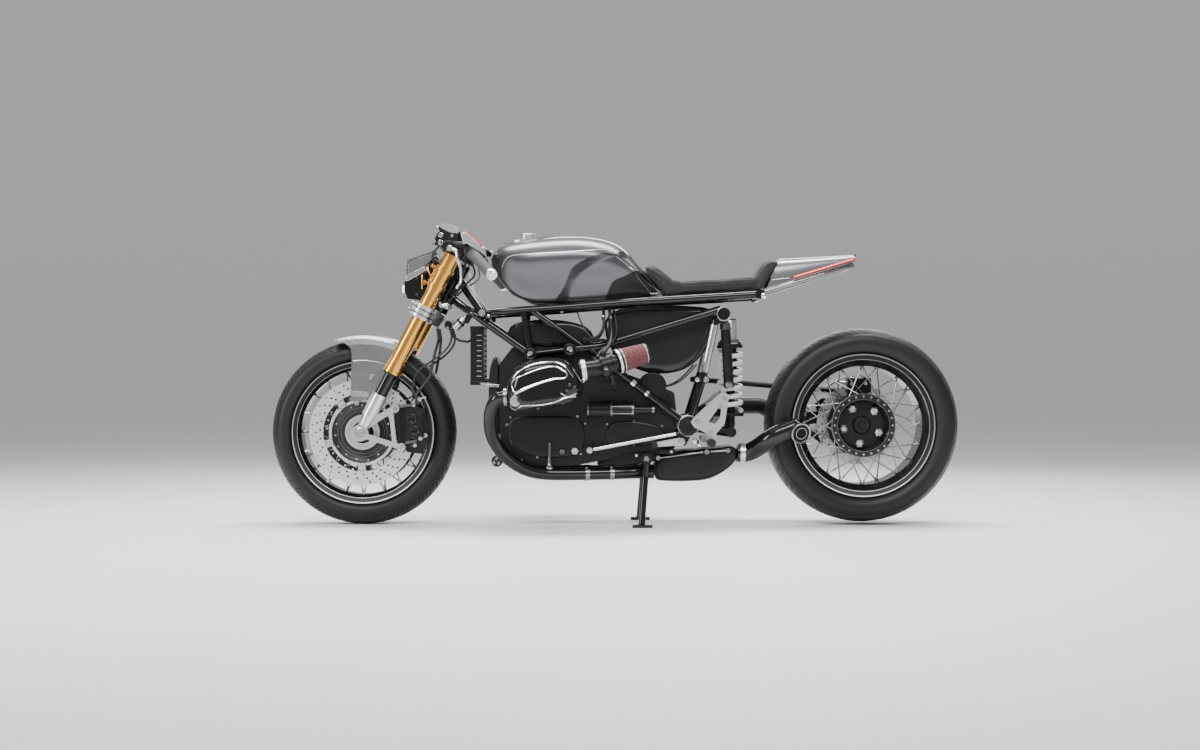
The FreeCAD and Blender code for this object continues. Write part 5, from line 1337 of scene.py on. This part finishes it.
cooler = {
    "finX": (-445.5, -430.5), "finZ": 481.5, "finPitch": 16.5, "fins": 9,
    "tankX": (-467.4, -422.6), "tankZ": [(453, 466), (630, 643)], "tankY": (-84.6, 84.6),
    "gridX": (-466.8, -465.5), "gridZ": (466, 630), "gridY": -78, "gridPitch": 7.8, "bars": 21,
    "hose": [(-436, -72, 464), (-430, -84, 458), (-412, -92, 454), (-390, -94, 452), (-372, -92, 450)],
}


def makeCoolerTrim():
    c = cooler
    rides = ("frame", "oil_cooler")
    heights = [c["finZ"] + c["finPitch"] * i for i in range(c["fins"])]
    makePair("coolerFins", [slab(c["finX"], (z - 1.3, z + 1.3), (-84.6, -80.6)) for z in heights], "satinSilver", *rides)
    makePiece("coolerTanks", [slab(c["tankX"], z, c["tankY"]) for z in c["tankZ"]], "satinBlack", *rides, bevel=2)
    sides = [c["gridY"] + c["gridPitch"] * i for i in range(c["bars"])]
    makePiece("coolerGrid", [slab(c["gridX"], c["gridZ"], (y - 0.6, y + 0.6)) for y in sides], "gunSteel", *rides)
    makePair("coolerHoses", [hose(c["hose"], 7.2, 16, 5)], "gunSteel", *rides)


starter = {
    "y": -127.3, "z": 374,
    # radius, start and width of each band
    "bands": [(24.6, -90, 6), (24.6, -16, 8), (20.8, 52, 8), (13.8, 116, 10)],
    "rodRadius": 20.5, "rodTurns": (35, -35), "rodX": (-10, 60),
}


def makeStarterTrim():
    y, z = starter["y"], starter["z"]
    rides = ("frame", "starter_motor")
    rings = [sleeve((0, y, z), (1, 0, 0), radius, x, x + wide, 1.4, 40) for radius, x, wide in starter["bands"]]
    makePiece("starterBands", rings, "darkSteel", *rides)
    rods = [tube([(x, y - starter["rodRadius"] * math.cos(a), z + starter["rodRadius"] * math.sin(a))
                  for x in starter["rodX"]], 2.2, 8) for a in np.radians(starter["rodTurns"])]
    makePiece("starterRods", rods, "darkSteel", *rides)


exhaust = {
    "route": [(-337.5, -286, 418), (-362, -285, 415), (-384, -272, 388), (-393, -246, 340), (-388, -216, 292),
              (-366, -188, 247), (-326, -160, 208), (-278, -137, 181), (-225, -121, 170), (-160, -108, 168),
              (-60, -88, 168), (20, -73, 169.5), (80, -62, 171), (126, -62, 171)],
    "box": [(125, 150), (125, 205), (150, 232), (190, 240), (330, 250), (394, 262), (394, 205), (330, 160), (280, 143),
            (150, 143)],
    "outlet": [(394, -62, 234), (420, -62, 233), (452, -78, 246), (486, -112, 272), (520, -128, 294), (556, -133, 310),
               (578, -134, 319)],
    "mouthFoot": (574, -120, 312), "mouthAxis": (16, -46, -12),
    # ends of a run and how far along it the clamp sits
    "clamps": [((-258, -130, 168), (-60, -88, 168), 0.84), ((-60, -88, 168), (80, -62, 171), 0.34)],
    "horn": [(0, -12), (16, -12), (18, -8), (18, 10), (14, 14), (0, 14)],
    "hornArm": [(-372, -150, 214), (-350, -160, 222), (-334, -168, 218)],
    "hornBolts": [(-385, 208), (-370, 207), (-377, 220)],
}


def makeExhaustTrim():
    e = exhaust
    headers, outlet = ("frame", "exhaust_headers"), ("frame", "exhaust_outlet")
    clamps = []
    for a, b, share in e["clamps"]:
        lead = np.subtract(b, a)
        spot = a + lead * share
        clamps += [band(19.8, 22.2, -7, 7, spot, lead, 36), socketBolt(spot + [0, -16, 18.5], 4.6, 6, (0, -1, 0.2))]
    makePair("headerClamps", clamps, "gunSteel", *headers)
    makePair("headerFlanges", [band(19.5, 29, -6, 3, (-344, -286, 417.8), (-1, 0, -0.04), 36)], "gunSteel", *headers)
    horn = [turned(e["horn"], (-376, -150, 212), left, 28), tube(e["hornArm"], 6)]
    makePair("lowerHorns", horn, "satinBlack", *headers)
    bits = [turned([(6.2, 13), (6.2, 19), (4.5, 21), (0, 21)], (x, -150, z), left, 10) for x, z in e["hornBolts"]]
    makePair("hornBolts", bits, "gunSteel", *headers)
    foot, axis = e["mouthFoot"], e["mouthAxis"]
    l = float(np.linalg.norm(axis))
    mouth = turned([(32.8, l - 10), (33.8, l - 8), (33.8, l + 1), (32.2, l + 2.2), (29, l + 1.4), (27.5, l + 0.2)],
                   foot, axis, 48)
    makePiece("exhaustMouth", [mouth, band(19, 17, l, l + 1.8, foot, axis)], "gunSteel", *outlet)
    # the matt black disc in the mouth is partly soot and partly painted shade for the pipe's hollow
    hollow = turned([(27.6, l + 0.4), (15, l + 0.6), (0, l + 0.7)], foot, axis, 48)
    makePiece("exhaustHollow", [hollow], "soot", *outlet)
    makePiece("outletClamp", [band(30.5, 33.2, -8, 8, (412, -62, 234), (1, 0, 0))], "satinSilver", *outlet)
    # smooth header pipes from the heads round and under the block, and the flat collector box
    makePair("headerPipes", [hose(e["route"], 20.3, 28)], "glossBlack", *headers, ["exhaust_headers"], sharp=50)
    makePiece("collectorBox", [pillow(e["box"], 96, 26)], "satinBlack", *headers, sharp=60)
    pipe = hose(e["outlet"], np.interp(np.linspace(0, 1, 43), [0, 0.5, 1], [30, 31.2, 32]), 32)
    end = turned([(0, 0), (30, 0), (33, 3), (33, 48.5), (0, 48.5)], foot, axis, 40)
    makePiece("outletPipe", [pipe, end], "glossBlack", *outlet, ["exhaust_outlet"], sharp=40)


# intakes
intake = {
    "a": (2.5, -239.8, 526.2), "b": (100, -212, 556), "start": (-113.3, -262, 499), "pleats": 44,
    # profile, centre, axis and sides of the throttle body's stubs
    "stubs": [([(12.5, 0), (12.5, 20), (10.5, 24), (0, 24)], (-30, -288, 500), (0.1, -0.9, -0.35), 20),
              ([(10, 0), (10, 26), (7, 30), (0, 30)], (-12, -262, 482), (0.15, -0.25, -1), 18),
              ([(8.5, 0), (8.5, 20), (6, 24), (0, 24)], (-36, -258, 536), (-0.1, -0.3, 1), 18)],
    # fuel and breather hoses between the tank and the throttle bodies, with the wiring beside them
    "hoses": [
        ([(-38, -86, 704), (-36, -104, 660), (-44, -122, 624), (-62, -133, 606), (-88, -136, 600)], 4.6),
        ([(-18, -88, 706), (-13, -116, 652), (-14, -158, 606), (-26, -200, 572), (-40, -240, 552), (-38, -258, 548)], 5.2),
        ([(-124, -96, 694), (-113, -112, 664), (-98, -130, 634), (-82, -138, 612), (-70, -138, 602)], 2.4),
        ([(-5, -84, 700), (2, -108, 660), (4, -130, 620), (-10, -160, 590), (-46, -214, 560), (-60, -236, 540)], 3.4),
        ([(-62, -86, 560), (-40, -96, 540), (-8, -110, 520), (40, -108, 470), (70, -104, 440), (120, -100, 428)], 3.0),
        ([(70, -104, 440), (130, -100, 446), (190, -96, 456), (236, -92, 490), (262, -92, 520)], 2.6)],
    "plug": [(-101, 592), (-101, 604), (-68, 605), (-66, 601), (-40, 602), (-27, 600), (-27, 594)],
    "ties": [((-38.5, -99, 672), (0, -18, -44)), ((-14, -108, 668), (0, -28, -54))],
}


def makeIntakeTrim():
    # pleated cone: radius falls from collar to cap and waves with the angle; collars, bands and stubs are turned
    a, start = np.array(intake["a"]), np.array(intake["start"])
    along = np.array(intake["b"]) - a
    l = float(np.linalg.norm(along))
    along /= l
    side = np.cross(along, right)
    side /= np.linalg.norm(side)
    turn = np.linspace(0, 2 * math.pi, intake["pleats"] * 6, endpoint=False)
    height = np.linspace(18, l - 6, 9)
    radius = np.interp(height, [height[0], height[-1]], [36.8, 30.5])[:, None] + 0.7 * np.cos(turn * intake["pleats"])
    ring = np.cos(turn)[:, None] * side + np.sin(turn)[:, None] * np.cross(along, side)
    cone = gridMesh(a + height[:, None, None] * along + radius[:, :, None] * ring, closeV=True, caps=True)
    filters, bodies = ("frame", "air_filters"), ("frame", "throttle_bodies")
    makePair("filterCones", [cone], "redMesh", *filters, ["air_filters"], sharp=60)
    collar = [(0, 0), (37, 0), (38.8, 1.5), (38.8, 12.5), (37.8, 15), (37.8, 19.5), (0, 19.5)]
    cap = [(0, l - 8), (30, l - 8), (31.4, l - 6.6), (31.4, l - 1.2), (30, l), (0, l)]
    makePair("filterCollars", [turned(profile, a, along, 56) for profile in (collar, cap)], "rubber", *filters)
    bands = [[(38, 2), (39.4, 2.6), (39.4, 9.8), (38, 10.4)], [(36.6, 18), (37.9, 18.2), (37.9, 20), (36.6, 20.4)],
             [(30, l - 9.4), (31.7, l - 9), (31.7, l - 7.6), (30, l - 7.2)]]
    makePair("filterBands", [turned(profile, a, along, 56) for profile in bands], "switchWhite", *filters)
    lead = a - along * 70 - start
    lead /= np.linalg.norm(lead)
    clamp = turned([(29.5, 6.2), (32.2, 6.8), (32.2, 20.2), (29.5, 20.8)], start, lead, 56)
    screw = turned([(5.2, -10), (5.2, 10), (0, 11.2)], start + lead * 13.5 + [0, -10, -32], (0.2, -1, 0.3), 10)
    makePair("intakeClamps", [clamp, screw], "switchWhite", *bodies)
    rings = [turned([(33, h), (35.2, h + 1), (35.2, h + w), (33, h + w + 1)], a - along * 55, along, 48)
             for h, w in ((2, 5), (34, 6))]
    makePair("throttleTrim", rings + [turned(*row) for row in intake["stubs"]], "satinBlack", *bodies)
    makePair("engineHoses", [hose(*row) for row in intake["hoses"]], "hoseBlack", *bodies)
    makePair("wirePlugs", [plate(intake["plug"], -144, -128)], "boxBlack", *bodies, bevel=1.4)
    makePair("hoseClips", [band(5, 6.2, -2, 2, *tie, 16) for tie in intake["ties"]], "satinSilver", *bodies)


# shock absorber, final drive and rear caliper
rearTrim = {
    # piece: finish, bevel, axis, then profile and centre of each turned part
    "shock": {
        "shockTop": ("satinSilver", 0, (-3, 0, 168), [
            ([(22.2, 98), (24, 100), (24, 160), (22.2, 164), (15, 168), (0, 168)], (375, -30, 500), 40)]),
        "preloadNuts": ("gunSteel", 0.5, (-3, 0, 168), [
            ([(23, 0), (38, 0), (38.5, 1), (38.5, 8), (37, 10), (23, 10)], (373.3, -30, 584.5), 40),
            ([(23, 0), (33, 0), (33, 6), (23, 6)], (373.1, -30, 594.5), 40)]),
        "reservoirCaps": ("darkSteel", 0, (-12, 0, 204), [
            ([(15.5, 0), (17.2, 1.5), (17.2, 20), (16, 22.5), (0, 22.5)], (354.5, -92, 630), 32),
            ([(0, -2), (16, -2), (17.2, 0), (17.2, 16), (15.5, 18)], (366, -92, 446), 32)]),
    },
    "line": [(832, 66, 476), (814, 60, 482), (786, 58, 484), (762, 66, 478), (732, 92, 462), (706, 112, 446)],
    "lowerLine": [([(665, 96, 470), (700, 92, 467), (737, 88, 462)], 3.2, 10),
                  ([(737, 88, 462), (748, 88, 460.5), (780, 88, 456)], 6.2, 14)],
    # lugs on the drive's left face, outline in x and z with their Y planes
    "lugs": [([(641, 362), (641, 386), (668, 388), (674, 364)], 104, 109.5),
             ([(648, 300), (648, 322), (676, 324), (680, 302)], 104, 109.5),
             ([(652, 420), (660, 452), (680, 456), (690, 432), (672, 412)], 112, 118)],
}


def makeRearTrim():
    axle = bike["rearAxle"]
    for name, (finish, bevel, axis, rows) in rearTrim["shock"].items():
        parts = [turned(profile, spot, axis, sides) for profile, spot, sides in rows]
        makePiece(name, parts, finish, "frame", "shock_absorber", bevel=bevel)
    bands = [band(15.8, 18, h, h + 7, (366, -92, 446), (-12, 0, 204), 32) for h in (50, 130)]
    makePiece("reservoirBands", bands, "rubber", "frame", "shock_absorber")
    bolts = [socketBolt(around(axle, 86, 22.5 + 45 * i, 160), 5.2, 5.5, right) for i in range(8)]
    bolts.append(turned([(20, -2), (20, 4), (17, 6), (10, 6), (9, 3), (0, 3)], (axle[0], 175.5, axle[2]), right, 6))
    bolts += [socketBolt((664, 161, z), 7.2, 6, right) for z in (382, 298)]
    makePiece("driveBolts", bolts, "gunSteel", "frame", "final_drive")
    eyes = [turned([(9.5, 0), (9.5, 6), (7.8, 8), (0, 8)], spot, right, 6) for spot in ((290, 160.8, 470), (768, 160.8, 430))]
    makePiece("strutNuts", eyes, "satinSilver", "frame", "swingarm")
    folds = [pair for h in range(0, 42, 7) for pair in ((29, 4 + h), (32.5, 7.5 + h))]
    boot = turned([(28, 0)] + folds + [(28, 48)], (272, 75.6, 343), (92, 38, 46), 36)
    makePiece("shaftBoot", [boot], "rubber", "frame", "swingarm")
    bits = [turned([(6.2, -4), (6.2, 8), (4.5, 10), (0, 10)], (axle[0] + x, 70, axle[2] + z), (0, -0.25, 1), 10)
            for x, z in ((-20, 146), (30, 144))]
    bits += [tube(rearTrim["line"], 3.6, 10)] + [socketBolt((axle[0] + x, 52.5, axle[2] + 134), 6, 5) for x in (-20, 26)]
    makePiece("rearLineBits", bits, "satinSilver", "frame", "rear_caliper")
    rim = [band(103, 109, 0, 6, (axle[0], 96, axle[2]), right, 96)] + [plate(*lug) for lug in rearTrim["lugs"]]
    makePiece("driveRim", rim, "satinSilver", "frame", "final_drive", bevel=0.8)
    line = [tube(*row) for row in rearTrim["lowerLine"]]
    line.append(turned([(6.8, -8), (7.5, 0), (7.5, 10), (5, 14), (0, 14)], (818.5, 83, 460), (0, 0, 1), 6))
    makePiece("rearLine", line, "satinSilver", "frame", "rear_caliper")


# footrests, levers and stand
controls = {
    "faceY": -152, "bolts": [(262, 337), (303, 306), (345, 412)],
    "toe": [(9.2, 0), (10.4, 1), (10.4, 8), (9.8, 9), (9.8, 11), (10.4, 12), (10.4, 20), (9.8, 21), (9.8, 23), (10.4, 24),
            (10.4, 32), (9, 33.8), (0, 33.8)],
    "rods": [[(138, -101, 219.5), (282, -101, 238)], [(306, -101, 239.5), (362, -101, 243)]],
    # radius, half length and centre of the rods' knobs
    "knobs": [(7.5, 4.5, (138, -101, 219.5)), (8, 6.5, (294, -101, 238.5)), (7.5, 6.5, (362, -101, 243))],
    "tabs": [([(52, 249), (52, 257), (82, 257), (82, 249)], -118, -102),
             ([(60, 222), (60, 234), (76, 234), (78, 222)], -116, -102),
             ([(136, 236), (140, 246), (186, 250), (196, 240), (180, 230)], -130, -96)],
    "tabBolts": [(67.7, -116, 228.3), (179.1, -130, 241)],
}


def makeControlTrim():
    c = controls
    profile = [(8.2, -1), (8.2, 3.5), (6.8, 5.2), (4, 5.2), (3.6, 2), (0, 2)]
    bolts = [turned(profile, (x, c["faceY"], z), left, 24) for x, z in c["bolts"]]
    bolts.append(turned([(11.5, -0.5), (11.5, 3), (9.5, 4.6), (5.8, 4.6), (5.4, 1.8), (0, 1.8)], (210.5, -154, 274), left, 30))
    bolts.append(turned([(6, -30), (6, 0), (4.5, 2), (0, 2)], (268, -138, 262), (0, -0.9, -0.3), 16))
    makePair("restBolts", bolts, "polishedSteel", "frame", "footrests")
    ribs = [(11.2, 0)] + ribbed(12, 4, 5.2, 13.2, 12, 3) + [(13.2, 66.4), (13.2, 70), (11, 71.6), (0, 71.6)]
    rubbers = [turned(ribs, (302, -163, 272), left, 28), turned(c["toe"], (124, -156.5, 263), left)]
    makePair("pegRubbers", rubbers, "rubber", "frame", "footrests")
    links = [tube(rod, 3.6) for rod in c["rods"]]
    links += [turned([(r, -half), (r, half), (0, half)], spot, left, 20) for r, half, spot in c["knobs"]]
    makePair("linkRods", links, "gunSteel", "frame", "foot_levers")
    makePair("standTabs", [plate(*tab) for tab in c["tabs"]], "castBlack", "frame", "engine_block", bevel=1.2)
    makePair("tabBolts", [socketBolt(spot, 5.2, 5) for spot in c["tabBolts"]], "polishedSteel", "frame", "engine_block")
    pin = turned([(10, -1), (10, 4), (8.5, 5.5), (0, 5.5)], (100, -130, 218), left, 6)
    makePair("standNuts", [pin], "gunSteel", "centre_stand", "centre_stand", sharp=25)


# covers and boxes behind the frame
covers = {
    "airbox": [(-36, 712), (-36, 610), (10, 530), (110, 486), (220, 492), (300, 560), (333, 660), (333, 712)],
    "front": [(-408, 312), (-408, 500), (-392, 544), (-373, 551), (-373, 252), (-392, 263)],
    "top": [(-352, 600), (-340, 660), (-200, 668), (-90, 650), (-60, 600), (-100, 576), (-330, 576)],
    "gear": [(-32, 250), (-34, 336), (60, 343), (138, 327), (164, 303), (160, 278), (128, 266), (40, 256)],
    "timing": [(-342, 266), (-342, 348), (-304, 356), (-132, 356), (-96, 338), (-96, 240), (-132, 222), (-250, 216),
               (-316, 243)],
    "sump": [(-60, 206), (-60, 190), (20, 188), (70, 196), (160, 212), (205, 262), (192, 290), (60, 245)],
    # both ends of each rib in x and z
    "webs": [(-60, 470, 60, 452), (-60, 500, 20, 486), (70, 440, 180, 396), (-40, 404, 60, 404), (170, 420, 188, 330),
             (-356, 380, -300, 372), (-356, 410, -318, 408), (80, 360, 186, 350)],
    "ribHeight": 7,
}


def makeCovers():
    case = ("frame", "engine_block")
    makePiece("airboxShell", [pillow(covers["airbox"], 84, 30, 12)], "boxBlack", "frame", "underseat_box",
              ["underseat_box"], sharp=60)
    makePiece("topCover", [pillow(covers["front"], 92, 10), pillow(covers["top"], 84, 26, 12)], "boxBlack", "frame",
              "engine_covers", ["engine_covers"], sharp=60)
    makePiece("sumpCover", [pillow(covers["sump"], 70, 12)], "castBlack", *case)
    makePiece("caseCovers", [pillow(covers[name], 112.5, 12, 8) for name in ("gear", "timing")], "satinBlack", *case,
              sharp=50)
    rise = covers["ribHeight"]
    ribs = [plate([(x0, z0), (x1, z1), (x1, z1 + rise), (x0, z0 + rise)], -108.5, -100) for x0, z0, x1, z1 in covers["webs"]]
    ribs += [turned([(76, -6), (93, -6), (93, 4.5), (91, 6.5), (78, 6.5), (76, 4.5)], (-218, -103, 455), left, 72, True),
             turned([(0, -4), (42, -4), (42, 4), (39, 7), (25, 8), (0, 8)], (122, -103, 452), left, 48)]
    makePair("caseRibs", ribs, "satinBlack", *case, bevel=1.2)


makeCamera()
makeLights()
groups["grain"] = makeGrainGroup()
groups["polar"] = makeWheelGroup()
materials = makeMaterials()
dressNodes()
makeFloor()
print("camera, light and finishes made")
stages = {
    "tyres": makeTyres, "tank": makeTank, "seat": makeSeat, "seat seams": makeSeatSeams, "head covers": makeCoverTrim,
    "wheels": makeWheelTrim, "fork": makeForkTrim, "calipers": makeCaliperTrim, "cockpit": makeCockpit,
    "headlight": makeHeadlightTrim, "clamp fittings": makeClampFittings, "tail": makeTailTrim, "frame": makeFrameTrim,
    "engine": makeEngineTrim, "oil cooler": makeCoolerTrim, "starter": makeStarterTrim, "exhaust": makeExhaustTrim,
    "intakes": makeIntakeTrim, "rear end": makeRearTrim, "controls": makeControlTrim, "covers": makeCovers,
}
for label, makeStage in stages.items():
    makeStage()
    print(label, "made")
